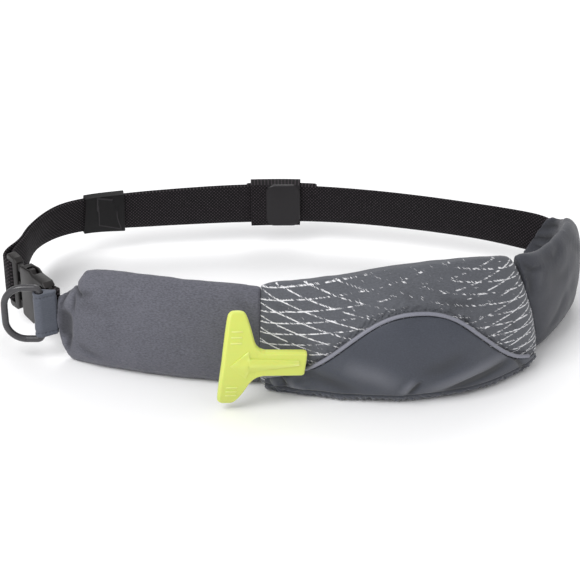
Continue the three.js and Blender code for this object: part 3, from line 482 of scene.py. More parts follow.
@dataclass(frozen=True)
class Finish:
    """What every finish has: a name, a roughness and a refractive index."""

    name: str
    roughness: float = 0.8
    ior: float = 1.5

    def build(self) -> bpy.types.Material:
        """Makes the material.

        Returns:
            A material with its shader joined to the output.
        """
        material = bpy.data.materials.new(self.name)
        material.use_nodes = True
        tree = material.node_tree
        tree.nodes.clear()
        shader = add_node(tree, "ShaderNodeBsdfPrincipled", {"Roughness": self.roughness, "IOR": self.ior})
        self.dress(tree, shader)
        add_node(tree, "ShaderNodeOutputMaterial", {"Surface": shader.outputs["BSDF"]})
        return material

    def dress(self, tree: bpy.types.NodeTree, shader: bpy.types.Node) -> None:
        """Adds the finish's own nodes to the tree, and joins them to its shader."""
        raise NotImplementedError

    @staticmethod
    def place(tree: bpy.types.NodeTree) -> bpy.types.NodeSocket:
        """Reads the cloth's own length, height and depth in millimetres."""
        read = add_node(tree, "ShaderNodeAttribute", attribute_name=PLACE)
        return add_node(
            tree, "ShaderNodeVectorMath", {0: read.outputs["Vector"], "Scale": 1.0 / MM}, operation="SCALE"
        ).outputs["Vector"]

    @staticmethod
    def crossing(
        tree: bpy.types.NodeTree, place: bpy.types.NodeSocket, pitches: tuple[float, float]
    ) -> bpy.types.NodeSocket:
        """Multiplies a wave along the cloth by one across it, as crossing yarns lie.

        Args:
            tree: the material's node tree.
            place: the cloth's place in millimetres.
            pitches: the waves' lengths along and across, in millimetres.

        Returns:
            The height, from -1 to 1.
        """
        parts = add_node(tree, "ShaderNodeSeparateXYZ", {0: place})
        waves = []
        for axis, pitch in zip("XY", pitches):
            inputs = {0: parts.outputs[axis], 1: 2.0 * math.pi / pitch}
            turn = add_node(tree, "ShaderNodeMath", inputs, operation="MULTIPLY")
            waves.append(add_node(tree, "ShaderNodeMath", {0: turn.outputs[0]}, operation="SINE").outputs[0])
        return add_node(
            tree, "ShaderNodeMath", {0: waves[0], 1: waves[1]}, operation="MULTIPLY"
        ).outputs[0]


@dataclass(frozen=True)
class WovenCloth(Finish):
    """Polyester pack cloth: a plain weave of dyed and undyed yarn, which the eye reads as a soft grain.

    The real yarns are 0.3 mm wide, too fine to show, so the grain is drawn 1 to 2 mm long.
    """

    dark: str = "4a4b51"
    light: str = "6b6c74"
    grain_length: float = 1.9
    grain_width: float = 0.8
    cloudy: float = 0.28
    weave_pitch: float = 0.9
    weave_relief: float = 0.08
    sheen: float = 0.15
    specular: float = 0.5
    # Painted shade in folds and painted highlight on ridges: how strong they are, and their colours.
    shade_in_folds: float = 0.62
    highlight_on_ridges: float = 0.2
    fold_shade_colour: str = "131416"
    ridge_highlight_colour: str = "93949c"

    def grain(self, tree: bpy.types.NodeTree, place: bpy.types.NodeSocket) -> bpy.types.NodeSocket:
        """Draws the yarns' own colours.

        Args:
            tree: the material's node tree.
            place: the cloth's place in millimetres.

        Returns:
            The cloth's colour.
        """
        stretched = add_node(
            tree,
            "ShaderNodeMapping",
            {"Vector": place, "Scale": (1.0 / self.grain_length, 1.0 / self.grain_width, 1.0)},
        )
        yarn = add_node(
            tree,
            "ShaderNodeTexNoise",
            {"Vector": stretched.outputs["Vector"], "Scale": 1.0, "Detail": 2.0, "Roughness": 0.6},
        )
        broad = add_node(
            tree, "ShaderNodeTexNoise", {"Vector": place, "Scale": 0.035, "Detail": 2.0, "Roughness": 0.5}
        )
        fine = add_node(
            tree,
            "ShaderNodeMapRange",
            {"Value": yarn.outputs["Fac"], "From Min": 0.3, "From Max": 0.7, "To Min": 0.15, "To Max": 0.85},
        )
        yarns = add_node(
            tree, "ShaderNodeMath", {0: fine.outputs["Result"], 1: 1.0 - self.cloudy}, operation="MULTIPLY"
        )
        inputs = {0: broad.outputs["Fac"], 1: self.cloudy, 2: yarns.outputs[0]}
        share = add_node(tree, "ShaderNodeMath", inputs, operation="MULTIPLY_ADD")
        mixed = add_node(
            tree,
            "ShaderNodeMix",
            {"Factor": share.outputs[0], "A": linear(self.dark), "B": linear(self.light)},
            data_type="RGBA",
        )
        return self.fold_shading(tree, mixed.outputs["Result"])

    def fold_shading(self, tree: bpy.types.NodeTree, colour: bpy.types.NodeSocket) -> bpy.types.NodeSocket:
        """Darkens the cloth in its folds as painted shade, and lightens it on its ridges as painted
        highlight.

        Args:
            tree: the material's node tree.
            colour: the cloth's colour before the painted shade and highlight.

        Returns:
            The worn colour.
        """
        # The fold depth paints shade into the hollows and a highlight onto the ridges.
        fold_light_paint = add_node(tree, "ShaderNodeAttribute", attribute_name=FOLD_LIGHT_PAINT).outputs["Fac"]
        for end, most, tone_shift in ((1.0, self.shade_in_folds, self.fold_shade_colour), (-1.0, self.highlight_on_ridges, self.ridge_highlight_colour)):
            inputs = {"Value": fold_light_paint, "From Min": 0.0, "From Max": end, "To Max": most}
            share = add_node(tree, "ShaderNodeMapRange", inputs)
            colour = add_node(
                tree,
                "ShaderNodeMix",
                {"Factor": share.outputs["Result"], "A": colour, "B": linear(tone_shift)},
                data_type="RGBA",
            ).outputs["Result"]
        return colour

    def weave(self, tree: bpy.types.NodeTree, place: bpy.types.NodeSocket) -> bpy.types.NodeSocket:
        """Raises the crossing yarns a little.

        Args:
            tree: the material's node tree.
            place: the cloth's place in millimetres.

        Returns:
            The bumped normal.
        """
        height = self.crossing(tree, place, (self.weave_pitch, self.weave_pitch))
        return add_node(
            tree, "ShaderNodeBump", {"Height": height, "Strength": 0.25, "Distance": self.weave_relief * MM}
        ).outputs["Normal"]

    def dress(self, tree: bpy.types.NodeTree, shader: bpy.types.Node) -> None:
        """Colours the cloth and raises its weave.

        Args:
            tree: the material's node tree.
            shader: its Principled shader.
        """
        place = self.place(tree)
        tree.links.new(self.grain(tree, place), shader.inputs["Base Color"])
        tree.links.new(self.weave(tree, place), shader.inputs["Normal"])
        shader.inputs["Sheen Weight"].default_value = self.sheen
        shader.inputs["Sheen Roughness"].default_value = 0.4
        shader.inputs["Specular IOR Level"].default_value = self.specular


@dataclass(frozen=True)
class BrokenArcs:
    """A set of printed arcs round one centre, whose dashes are whole at one length and gone at another.

    Lengths are in millimetres from the middle of the pouch, and heights from the floor.
    """

    centre_along: float
    centre_up: float
    spacing: float
    whole_at: float
    gone_at: float
    seed: float


@dataclass(frozen=True)
class PrintedCloth(WovenCloth):
    """The same cloth with a light reflective ink, screen-printed in thin broken arcs."""

    ink: str = "dcdcdf"
    line_width: float = 0.9
    dash_pace: float = 0.26
    dash_whole: float = 0.445
    dash_gone: float = 0.63
    shake: float = 1.2
    middle: float = 0.0
    arcs: tuple[BrokenArcs, ...] = ()

    def cover(
        self, tree: bpy.types.NodeTree, place: bpy.types.NodeSocket, drawn: BrokenArcs
    ) -> bpy.types.NodeSocket:
        """Draws one set of broken arcs.

        Args:
            tree: the material's node tree.
            place: the cloth's place in millimetres.
            drawn: the set's sizes.

        Returns:
            The ink's cover, 0 or 1.
        """
        fine = add_node(
            tree, "ShaderNodeTexNoise", {"Vector": place, "Scale": 0.9, "Detail": 2.0, "Roughness": 0.7}
        )
        parts = add_node(tree, "ShaderNodeSeparateXYZ", {0: place})
        known = {"x": parts.outputs["X"], "y": parts.outputs["Y"], "fine": fine.outputs["Fac"]}
        # Each row is a sum's name, its operation and what goes into it: a number, or an earlier sum's name.
        sums = (
            ("along", "SUBTRACT", "x", self.middle),
            ("across", "SUBTRACT", "along", drawn.centre_along),
            ("up", "SUBTRACT", "y", drawn.centre_up),
            ("across squared", "MULTIPLY", "across", "across"),
            ("up squared", "MULTIPLY", "up", "up"),
            ("radius squared", "ADD", "across squared", "up squared"),
            ("radius", "SQRT", "radius squared"),
            ("noise", "SUBTRACT", "fine", 0.5),
            ("shake", "MULTIPLY", "noise", self.shake),
            ("shaken", "ADD", "radius", "shake"),
            ("row", "DIVIDE", "shaken", drawn.spacing),
            ("number", "FLOOR", "row"),
            ("share", "FRACT", "row"),
            ("aside", "SUBTRACT", "share", 0.5),
            ("distance", "ABSOLUTE", "aside"),
            ("off", "MULTIPLY", "distance", 2.0),
            ("uneven", "SUBTRACT", "fine", 0.17),
            ("width", "MULTIPLY", "uneven", 3.0 * self.line_width / drawn.spacing),
            ("thick", "LESS_THAN", "off", "width"),
            ("turn", "ARCTAN2", "up", "across"),
            ("run", "MULTIPLY", "turn", "radius"),
            ("pace", "MULTIPLY", "run", self.dash_pace),
            ("lane", "MULTIPLY", "number", 3.7),
        )
        for name, operation, *values in sums:
            inputs = {i: known.get(value, value) for i, value in enumerate(values)}
            known[name] = add_node(tree, "ShaderNodeMath", inputs, operation=operation).outputs[0]
        where = add_node(tree, "ShaderNodeCombineXYZ", {0: known["pace"], 1: known["lane"], 2: drawn.seed})
        dash = add_node(
            tree,
            "ShaderNodeTexNoise",
            {"Vector": where.outputs[0], "Scale": 1.0, "Detail": 5.0, "Roughness": 0.8},
        )
        least = add_node(
            tree,
            "ShaderNodeMapRange",
            {
                "Value": known["along"],
                "From Min": drawn.whole_at,
                "From Max": drawn.gone_at,
                "To Min": self.dash_whole,
                "To Max": self.dash_gone,
            },
        )
        kept = add_node(
            tree,
            "ShaderNodeMath",
            {0: dash.outputs["Fac"], 1: least.outputs["Result"]},
            operation="GREATER_THAN",
        )
        return add_node(
            tree, "ShaderNodeMath", {0: known["thick"], 1: kept.outputs[0]}, operation="MULTIPLY"
        ).outputs[0]

    def dress(self, tree: bpy.types.NodeTree, shader: bpy.types.Node) -> None:
        """Colours the cloth, prints its arcs and raises its weave.

        Args:
            tree: the material's node tree.
            shader: its Principled shader.
        """
        place = self.place(tree)
        inked = add_node(
            tree,
            "ShaderNodeMath",
            {0: add_node(tree, "ShaderNodeAttribute", attribute_name=FACING).outputs["Fac"], 1: 0.05},
            operation="GREATER_THAN",
        ).outputs[0]
        covers = [self.cover(tree, place, drawn) for drawn in self.arcs]
        whole = covers[0]
        for other in covers[1:]:
            whole = add_node(tree, "ShaderNodeMath", {0: whole, 1: other}, operation="MAXIMUM").outputs[0]
        inked = add_node(tree, "ShaderNodeMath", {0: whole, 1: inked}, operation="MULTIPLY")
        mixed = add_node(
            tree,
            "ShaderNodeMix",
            {"Factor": inked.outputs[0], "A": self.grain(tree, place), "B": linear(self.ink)},
            data_type="RGBA",
        )
        tree.links.new(mixed.outputs["Result"], shader.inputs["Base Color"])
        tree.links.new(self.weave(tree, place), shader.inputs["Normal"])
        shader.inputs["Sheen Weight"].default_value = self.sheen


@dataclass(frozen=True)
class WovenWebbing(Finish):
    """Nylon belt webbing: heavy crossing yarns, whose tops show as rows of lighter dots on black.

    The yarns' real pitch of 1.7 mm is drawn at about 3 mm, so that the rows show.
    """

    dark: str = "030204"
    light: str = "53494f"
    pitch_along: float = 3.1
    pitch_across: float = 3.3
    relief: float = 0.3

    def dress(self, tree: bpy.types.NodeTree, shader: bpy.types.Node) -> None:
        """Draws and raises the staggered yarns.

        Args:
            tree: the material's node tree.
            shader: its Principled shader.
        """
        place = self.place(tree)
        tops = add_node(
            tree,
            "ShaderNodeMapRange",
            {
                "Value": self.crossing(tree, place, (self.pitch_along, self.pitch_across)),
                "From Min": 0.05,
                "From Max": 0.75,
            },
            interpolation_type="SMOOTHSTEP",
        )
        uneven = add_node(
            tree, "ShaderNodeTexNoise", {"Vector": place, "Scale": 0.45, "Detail": 3.0, "Roughness": 0.6}
        )
        share = add_node(
            tree,
            "ShaderNodeMath",
            {0: tops.outputs["Result"], 1: uneven.outputs["Fac"]},
            operation="MULTIPLY",
        )
        colour = add_node(
            tree,
            "ShaderNodeMix",
            {"Factor": share.outputs[0], "A": linear(self.dark), "B": linear(self.light)},
            data_type="RGBA",
        )
        bump = add_node(
            tree,
            "ShaderNodeBump",
            {"Height": tops.outputs["Result"], "Strength": 0.8, "Distance": self.relief * MM},
        )
        tree.links.new(colour.outputs["Result"], shader.inputs["Base Color"])
        tree.links.new(bump.outputs["Normal"], shader.inputs["Normal"])
        shader.inputs["Specular IOR Level"].default_value = 0.3


@dataclass(frozen=True)
class MouldedPlastic(Finish):
    """Injection-moulded plastic: one dyed colour with a fine spark-eroded grain and lighter edges.

    The grain is 0.4 mm wide, and the edges are lighter, partly as wear where the belt and hands rub them and
    partly as a painted highlight along the rims.
    """

    base: str = "232022"
    edge: str = "58545a"
    grain: float = 0.4
    grain_height: float = 0.02
    glow: float = 0.0
    specular: float = 0.5

    def dress(self, tree: bpy.types.NodeTree, shader: bpy.types.Node) -> None:
        """Colours the plastic, lightens its edges as wear and painted highlight, and raises its grain.

        Args:
            tree: the material's node tree.
            shader: its Principled shader.
        """
        where = add_node(tree, "ShaderNodeTexCoord").outputs["Object"]
        fine = add_node(
            tree, "ShaderNodeTexNoise", {"Vector": where, "Scale": 1.0 / (self.grain * MM), "Detail": 2.0}
        )
        cloudy = add_node(
            tree, "ShaderNodeTexNoise", {"Vector": where, "Scale": 1.0 / (14.0 * MM), "Detail": 3.0}
        )
        # Edges lighten by pointiness: partly wear, partly a painted highlight on the rims.
        tone_shift = add_node(
            tree,
            "ShaderNodeMapRange",
            {
                "Value": add_node(tree, "ShaderNodeNewGeometry").outputs["Pointiness"],
                "From Min": 0.505,
                "From Max": 0.6,
                "To Max": 0.8,
            },
        )
        patchy = add_node(
            tree,
            "ShaderNodeMath",
            {0: tone_shift.outputs["Result"], 1: cloudy.outputs["Fac"]},
            operation="MULTIPLY",
        )
        colour = add_node(
            tree,
            "ShaderNodeMix",
            {"Factor": patchy.outputs[0], "A": linear(self.base), "B": linear(self.edge)},
            data_type="RGBA",
        )
        gloss = add_node(
            tree,
            "ShaderNodeMapRange",
            {
                "Value": cloudy.outputs["Fac"],
                "To Min": self.roughness - 0.08,
                "To Max": self.roughness + 0.08,
            },
        )
        bump = add_node(
            tree,
            "ShaderNodeBump",
            {"Height": fine.outputs["Fac"], "Strength": 0.5, "Distance": self.grain_height * MM},
        )
        tree.links.new(colour.outputs["Result"], shader.inputs["Base Color"])
        tree.links.new(gloss.outputs["Result"], shader.inputs["Roughness"])
        tree.links.new(bump.outputs["Normal"], shader.inputs["Normal"])
        shader.inputs["Specular IOR Level"].default_value = self.specular
        shader.inputs["Subsurface Weight"].default_value = self.glow
        shader.inputs["Subsurface Scale"].default_value = 2.0 * MM


@dataclass(frozen=True)
class SpunThread(Finish):
    """Polyester sewing thread: two plies twisted, which show as fine slanting bands."""

    colour: str = "4a4b52"
    band: str = "2f3036"
    twist: float = 0.6

    def dress(self, tree: bpy.types.NodeTree, shader: bpy.types.Node) -> None:
        """Draws the twisted plies.

        Args:
            tree: the material's node tree.
            shader: its Principled shader.
        """
        where = add_node(tree, "ShaderNodeTexCoord").outputs["Object"]
        plies = add_node(
            tree,
            "ShaderNodeTexWave",
            {"Vector": where, "Scale": 1.0 / (self.twist * MM) / 20.0, "Distortion": 1.0},
            bands_direction="DIAGONAL",
        )
        colour = add_node(
            tree,
            "ShaderNodeMix",
            {"Factor": plies.outputs["Fac"], "A": linear(self.band), "B": linear(self.colour)},
            data_type="RGBA",
        )
        tree.links.new(colour.outputs["Result"], shader.inputs["Base Color"])


@dataclass(frozen=True)
class StudioPaper(Finish):
    """White background paper: a matt sheet."""

    colour: str = "fbfbfc"

    def dress(self, tree: bpy.types.NodeTree, shader: bpy.types.Node) -> None:
        """Colours the paper."""
        shader.inputs["Base Color"].default_value = linear(self.colour)
        shader.inputs["Specular IOR Level"].default_value = 0.1


# Sub-assemblies


@dataclass(frozen=True)
class Fold:
    """A crease or a seam on a padded body, as a line of places along it and up from the floor.

    A positive depth sinks, and a negative one raises. A fold that runs out is shallow at its ends.
    """

    line: tuple[tuple[float, float], ...]
    width: float
    depth: float
    side: Side = Side.OUTER
    runs_out: bool = True

    def depths(self, along: np.ndarray, up: np.ndarray) -> np.ndarray:
        """Works out how far each place sinks.

        Args:
            along: lengths from the body's start in millimetres.
            up: heights in millimetres.

        Returns:
            The depth at each place in millimetres.
        """
        points = np.array(self.line)
        lengths = np.concatenate([[0.0], np.cumsum(np.hypot(*np.diff(points, axis=0).T))])
        nearest = np.full(along.shape, np.inf)
        share = np.zeros_like(along)
        for i in range(len(points) - 1):
            step = points[i + 1] - points[i]
            t = ((along - points[i][0]) * step[0] + (up - points[i][1]) * step[1]) / step.dot(step)
            t = np.clip(t, 0.0, 1.0)
            distance = np.hypot(along - points[i][0] - t * step[0], up - points[i][1] - t * step[1])
            closer = distance < nearest
            nearest = np.where(closer, distance, nearest)
            run = (lengths[i] + t * (lengths[i + 1] - lengths[i])) / lengths[-1]
            share = np.where(closer, run, share)
        profile = hump(nearest, 0.0, self.width)
        if self.runs_out:
            profile = profile * np.sin(math.pi * np.clip(share, 0.02, 0.98)) ** 0.6
        return self.depth * profile


@dataclass
class SubAssembly:
    """What every sub-assembly shares: the waist's line and how a piece joins the frame."""

    waist: WaistLine
    finishes: dict[str, bpy.types.Material]

    def keep(
        self,
        piece: bpy.types.Object,
        finish: str | tuple[str, ...],
        slot: Slot,
        stands_for: str | None = None,
        fill: float | None = None,
    ) -> bpy.types.Object:
        """Dresses a finished piece and joins it to the frame.

        Args:
            piece: the object with its final mesh.
            finish: the name of its finish, or one for each of its faces' material numbers.
            slot: the record's slot of the piece; not used.
            stands_for: the CAD node that it replaces.
            fill: how full it is, where it is padded; not used.

        Returns:
            The same object.
        """
        self.waist.store(piece)
        for number, name in enumerate((finish,) if isinstance(finish, str) else finish):
            if number < len(piece.data.materials):
                piece.data.materials[number] = self.finishes[name]
            else:
                piece.data.materials.append(self.finishes[name])
        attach(piece, BODY)
        if stands_for is not None:
            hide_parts(stands_for)
        triangles = sum(len(face.vertices) - 2 for face in piece.data.polygons)
        LOG.info("%s: %d triangles, %s", piece.name, triangles, finish)
        return piece

    def rounded(self, node: str, name: str, radius: float, angle: float = 32.0) -> bpy.types.Object:
        """Copies a CAD node with its sharp edges rounded.

        Args:
            node: the CAD node's name.
            name: the piece's name.
            radius: the rounding in millimetres.
            angle: the turn in degrees past which an edge is rounded.

        Returns:
            The rounded piece.
        """
        shape = node_shape(node)
        bmesh.ops.dissolve_limit(
            shape, angle_limit=math.radians(1.0), verts=shape.verts, edges=shape.edges
        )
        round_edges(shape, sharp_edges(shape, angle), radius, segments=3)
        piece = new_object(name, shape)
        shade_smooth(piece, 40.0)
        return piece

    def stitches(
        self,
        name: str,
        points: list[Vector],
        facing: list[Vector],
        pitch: float = 3.4,
        length: float = 2.4,
        thickness: float = 0.55,
    ) -> bpy.types.Object:
        """Sews a row of stitches along a line on a surface.

        Args:
            name: the row's name.
            points: the line's points on the surface, in metres.
            facing: the direction that the surface faces at each point.
            pitch: the length from stitch to stitch in millimetres.
            length: a stitch's length in millimetres.
            thickness: the thread's thickness in millimetres.

        Returns:
            The row as one object.
        """
        lengths = [0.0]
        for a, b in zip(points, points[1:]):
            lengths.append(lengths[-1] + (b - a).length / MM)
        shape = bmesh.new()
        count = max(1, int(lengths[-1] // pitch))
        for i in range(count):
            at = (i + 0.5) * lengths[-1] / count
            k = max(j for j in range(len(lengths) - 1) if lengths[j] <= at)
            t = (at - lengths[k]) / (lengths[k + 1] - lengths[k])
            centre = points[k].lerp(points[k + 1], t)
            normal = facing[k].lerp(facing[k + 1], t).normalized()
            run = (points[k + 1] - points[k]).normalized()
            side = normal.cross(run).normalized()
            frame_of = Matrix((run, side, run.cross(side))).transposed().to_4x4()
            frame_of.translation = centre + normal * (0.1 * thickness * MM)
            made = bmesh.ops.create_icosphere(shape, subdivisions=1, radius=0.5 * MM)
            scale = Matrix.Diagonal((length, thickness, thickness, 1.0))
            bmesh.ops.transform(shape, matrix=frame_of @ scale, verts=made["verts"])
        row = new_object(name, shape)
        shade_smooth(row)
        return row


@dataclass(frozen=True)
class Pad:
    """What one padded body is made with: its joints, finish, swelling, mesh size and folds.

    Its upper edge is smoothed in a number of rounds, where the real one is rolled, and rises at its joint.
    """

    node: str
    joins: tuple[str, ...]
    beside: tuple[str, ...]
    finish: str
    slot: Slot
    fill: float
    most_out: float
    voxel: float
    folds: tuple[Fold, ...]
    edge_rounds: int = 0
    joint_rise: float = 0.0


PADS = (
    Pad(
        node="side_panel",
        joins=("pouch",),
        beside=("pouch", "ring_tab", "anchor_strap"),
        finish="heather",
        slot=Slot.HEATHER_CLOTH,
        fill=0.55,
        most_out=1.4,
        voxel=3.2,
        edge_rounds=6,
        folds=(
            Fold(((9, 45), (9, 38), (8, 31)), 6.0, 3.2, runs_out=False),
            Fold(((15, 52), (17, 42), (16, 32), (12, 23)), 1.8, -1.1),
            Fold(((1, 47), (2, 38), (1, 28)), 1.6, -0.9),
            Fold(((4, 50), (7, 60), (13, 72)), 1.6, 1.9),
            Fold(((16, 52), (17, 62), (17, 71)), 1.6, 1.7),
            Fold(((10, 53), (12, 62), (15, 69)), 2.4, -1.5),
            Fold(((13, 31), (11, 21), (9, 11)), 1.8, 1.9),
            Fold(((6, 25), (6, 17), (7, 9)), 2.2, -1.2),
            Fold(((14, 82), (17, 74), (22, 70)), 1.9, 2.2, Side.BOTH, False),
            Fold(((19, 68), (27, 72), (36, 74)), 3.2, 1.2),
            Fold(((18, 24), (28, 17), (42, 14)), 4.0, 1.1),
            Fold(((20, 60), (30, 64), (44, 62)), 6.0, 0.7),
            Fold(((146, 88), (158, 76), (165, 60)), 5.0, 0.6),
        ),
    ),
    Pad(
        node="pouch",
        joins=("side_panel", "side_wing"),
        beside=("side_panel", "side_wing"),
        finish="printed",
        slot=Slot.PRINTED_CLOTH,
        fill=0.75,
        most_out=0.4,
        voxel=4.0,
        folds=(
            Fold(((3, 84), (14, 78), (28, 76)), 3.0, 0.6),
            Fold(((136, 92), (150, 84), (166, 83)), 4.0, 1.3),
            Fold(((158, 74), (152, 63), (150, 54)), 2.6, 1.5),
            Fold(((130, 74), (137, 64), (136, 55)), 2.6, 1.3),
            Fold(((188, 60), (196, 48)), 2.6, 0.8),
            Fold(((110, 98), (118, 90)), 2.6, 0.6),
        ),
    ),
    Pad(
        node="side_wing",
        joins=("pouch",),
        beside=("pouch", "belt_webbing"),
        finish="side cloth",
        slot=Slot.HEATHER_CLOTH,
        fill=0.5,
        most_out=1.4,
        voxel=3.2,
        edge_rounds=14,
        joint_rise=6.0,
        folds=(
            Fold(((158, 40), (142, 46), (126, 56)), 2.4, 2.3, Side.BOTH),
            Fold(((154, 34), (136, 36), (118, 44)), 2.4, 2.1, Side.BOTH),
            Fold(((150, 52), (136, 62), (120, 70)), 2.6, 2.2, Side.BOTH),
            Fold(((142, 62), (130, 72), (116, 80)), 2.4, 1.6, Side.BOTH),
            Fold(((2, 96), (10, 88), (20, 86)), 2.4, 2.0, Side.BOTH),
            Fold(((3, 90), (8, 78), (9, 62)), 3.4, 1.7),
            Fold(((14, 90), (16, 80), (15, 70)), 3.6, -0.6),
            Fold(((3, 66), (9, 54), (12, 40)), 3.4, 0.8),
            Fold(((22, 90), (38, 85), (56, 89)), 3.2, 1.0, Side.BOTH),
            Fold(((30, 18), (48, 30), (60, 46)), 6.0, 0.9),
            Fold(((26, 78), (44, 66), (62, 62)), 7.0, 0.8),
            Fold(((70, 80), (84, 70), (92, 56)), 5.0, 1.0),
        ),
    ),
)


# The cloth is light and firm across, and soft to bend, as polyester over foam is.
CLOTH_SETTINGS = {
    "quality": 5,
    "mass": 0.2,
    "tension_stiffness": 12.0,
    "compression_stiffness": 12.0,
    "shear_stiffness": 5.0,
    "bending_stiffness": 0.4,
    "use_pressure": True,
    "uniform_pressure_force": 4.0,
}


@dataclass
class PaddedFront(SubAssembly):
    """The padded front: the side panel, the pouch and the side wing, sewn end to end."""

    frames: int = 20
    most_swell: float = 4.0
    most_in: float = 1.5
    held_within: float = 12.0
    joint_reach: float = 1.6
    joint_push: float = 0.45
    floor_clearance: float = 0.15
    edge_slope: float = 0.1
    corner_at: float = 4.0
    corner_reach: float = 14.0
    deepest: float = 2.2
    wrinkles: Ripple = Ripple(seed=7, count=14, pitch=26.0, height=0.2)
    puckers: Ripple = Ripple(seed=21, count=12, pitch=6.0, height=0.45)
    # The middle and the reach above the piping of the gathers and of the seam, and the seam's depth.
    gathered: tuple[float, float] = (5.0, 3.2)
    seam: tuple[float, float] = (2.2, 1.6)
    seam_depth: float = 0.7
    pieces: dict[str, bpy.types.Object] = field(default_factory=dict)

    def held(self, body: bpy.types.Object, beside: list[BVHTree]) -> np.ndarray:
        """Tells how firmly seams hold each point: at the joints and along the top and bottom edges.

        Args:
            body: the padded body.
            beside: the surfaces of its neighbours.

        Returns:
            A share for each point, 1 where it is sewn down.
        """
        joint = 1.0 - soft_step(2.0, self.held_within, nearest_gap(mesh_points(body.data), beside))
        edge = soft_step(0.35, 0.8, np.abs(mesh_normals(body.data)[:, 2]))
        return np.maximum(joint, edge)

    def blow_up(self, body: bpy.types.Object, held: np.ndarray) -> None:
        """Runs the cloth simulation on a body and caps how far its points move.

        Args:
            body: the body, as a closed even mesh.
            held: how firmly its seams hold each point.
        """
        before = mesh_points(body.data)
        seams = body.vertex_groups.new(name="seams")
        for i, share in enumerate(held):
            seams.add([i], float(share), "REPLACE")
        cloth = body.modifiers.new("Cloth", "CLOTH")
        for name, value in CLOTH_SETTINGS.items():
            setattr(cloth.settings, name, value)
        cloth.settings.vertex_group_mass = seams.name
        cloth.settings.effector_weights.gravity = 0.0
        cloth.collision_settings.use_self_collision = False
        for number in range(1, self.frames + 1):
            bpy.context.scene.frame_set(number)
        apply_modifiers(body)
        bpy.context.scene.frame_set(1)
        body.vertex_groups.clear()
        moved = mesh_points(body.data) - before
        reach = np.linalg.norm(moved, axis=1, keepdims=True)
        share = np.minimum(1.0, self.most_swell * MM / np.maximum(reach, 1e-9))
        set_points(body.data, before + moved * share)

    def fit(self, body: bpy.types.Object, solid: BVHTree, held: np.ndarray, most_out: float) -> None:
        """Keeps a body close to its CAD solid, and on it where seams hold it.

        Args:
            body: the body to hold back.
            solid: the surface of its CAD solid.
            held: how firmly its seams hold each point.
            most_out: how far it may stand out from the solid in millimetres.
        """
        points = mesh_points(body.data)
        for i, point in enumerate(points):
            near, normal, _, _ = solid.find_nearest(Vector(point))
            gap = (Vector(point) - near).dot(normal) / MM
            kept = min(max(gap, -self.most_in), most_out) * (1.0 - held[i])
            points[i] = np.array(Vector(point) + normal * (kept - gap) * MM)
        set_points(body.data, points)

    def lift_joint(self, body: bpy.types.Object, rise: float) -> None:
        """Draws up the cloth's top corner at the body's first joint, to the height of its neighbour.

        Args:
            body: the finely divided body.
            rise: how far the corner is drawn up in millimetres.
        """
        points = mesh_points(body.data)
        places = self.waist.places(points)
        along = places[:, 0] - places[:, 0].min()
        near = hump(along, self.corner_at, self.corner_reach)
        points[:, 2] += rise * MM * near * soft_step(0.5, 1.0, places[:, 1] / places[:, 1].max())
        set_points(body.data, points)

    def pad(self, job: Pad) -> bpy.types.Object:
        """Makes a padded body: its CAD solid, remeshed, blown up as cloth and creased.

        Args:
            job: what the body is made with.

        Returns:
            The finished body.
        """
        solid = node_surface(job.node)
        beside = [node_surface(name) for name in job.beside]
        body = new_object(job.node + "_cloth", node_shape(job.node))
        voxel_remesh(body, job.voxel)
        self.blow_up(body, self.held(body, beside))
        subdivide(body, 2)
        self.fit(body, solid, self.held(body, beside), job.most_out)
        even_out(body, job.edge_rounds, self.edge_slope)
        self.lift_joint(body, job.joint_rise)
        joints = [node_surface(name) for name in job.joins]
        touching = nearest_gap(mesh_points(body.data), joints) < self.joint_reach
        push = mesh_normals(body.data) * (touching[:, None] * self.joint_push * MM)
        set_points(body.data, mesh_points(body.data) + push)
        self.crease(body, job.folds)
        return body

    def crease(self, body: bpy.types.Object, folds: tuple[Fold, ...]) -> None:
        """Presses folds and seams into a body.

        Args:
            body: the finely divided body.
            folds: what is pressed in.
        """
        points = mesh_points(body.data)
        normals = mesh_normals(body.data)
        places = self.waist.places(points)
        along = places[:, 0] - places[:, 0].min()
        facing = outward(points, normals)
        sunk = np.zeros(len(points))
        for fold in folds:
            weight = soft_step(-0.1, 0.3, facing) if fold.side is Side.OUTER else 1.0
            sunk += fold.depths(along, places[:, 1]) * weight
        # The fold depths are kept for the cloth's painted shade in hollows and painted highlight on ridges.
        store_values(body, FOLD_LIGHT_PAINT, np.clip(sunk / self.deepest, -1.0, 1.0))
        small = self.wrinkles.at(places[:, 0] + places[:, 2] * 0.4, places[:, 1])
        points = points - normals * ((sunk + small)[:, None] * MM)
        points[:, 2] = np.maximum(points[:, 2], self.floor_clearance * MM)
        set_points(body.data, points)

    def pucker(self, pouch: bpy.types.Object) -> None:
        """Gathers the pouch's cloth a little where the piping is sewn to it.

        Args:
            pouch: the finely divided pouch.
        """
        points = mesh_points(pouch.data)
        normals = mesh_normals(pouch.data)
        places = self.waist.places(points)
        piping = self.waist.places(mesh_points(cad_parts["piping"].data))
        order = np.argsort(piping[:, 0])
        above = places[:, 1] - np.interp(places[:, 0], piping[order, 0], piping[order, 1])
        front = soft_step(0.0, 0.3, outward(points, normals))
        gathers = self.puckers.at(places[:, 0], above * 0.6) * hump(above, *self.gathered) * front
        sink = hump(above, *self.seam) * self.seam_depth * front
        set_points(pouch.data, points + normals * ((gathers - sink)[:, None] * MM))

    def build(self) -> None:
        """Makes the three padded bodies and dresses them."""
        for job in PADS:
            body = self.pad(job)
            if job.node == "pouch":
                self.pucker(body)
            shade_smooth(body)
            self.pieces[job.node] = self.keep(body, job.finish, job.slot, job.node, job.fill)


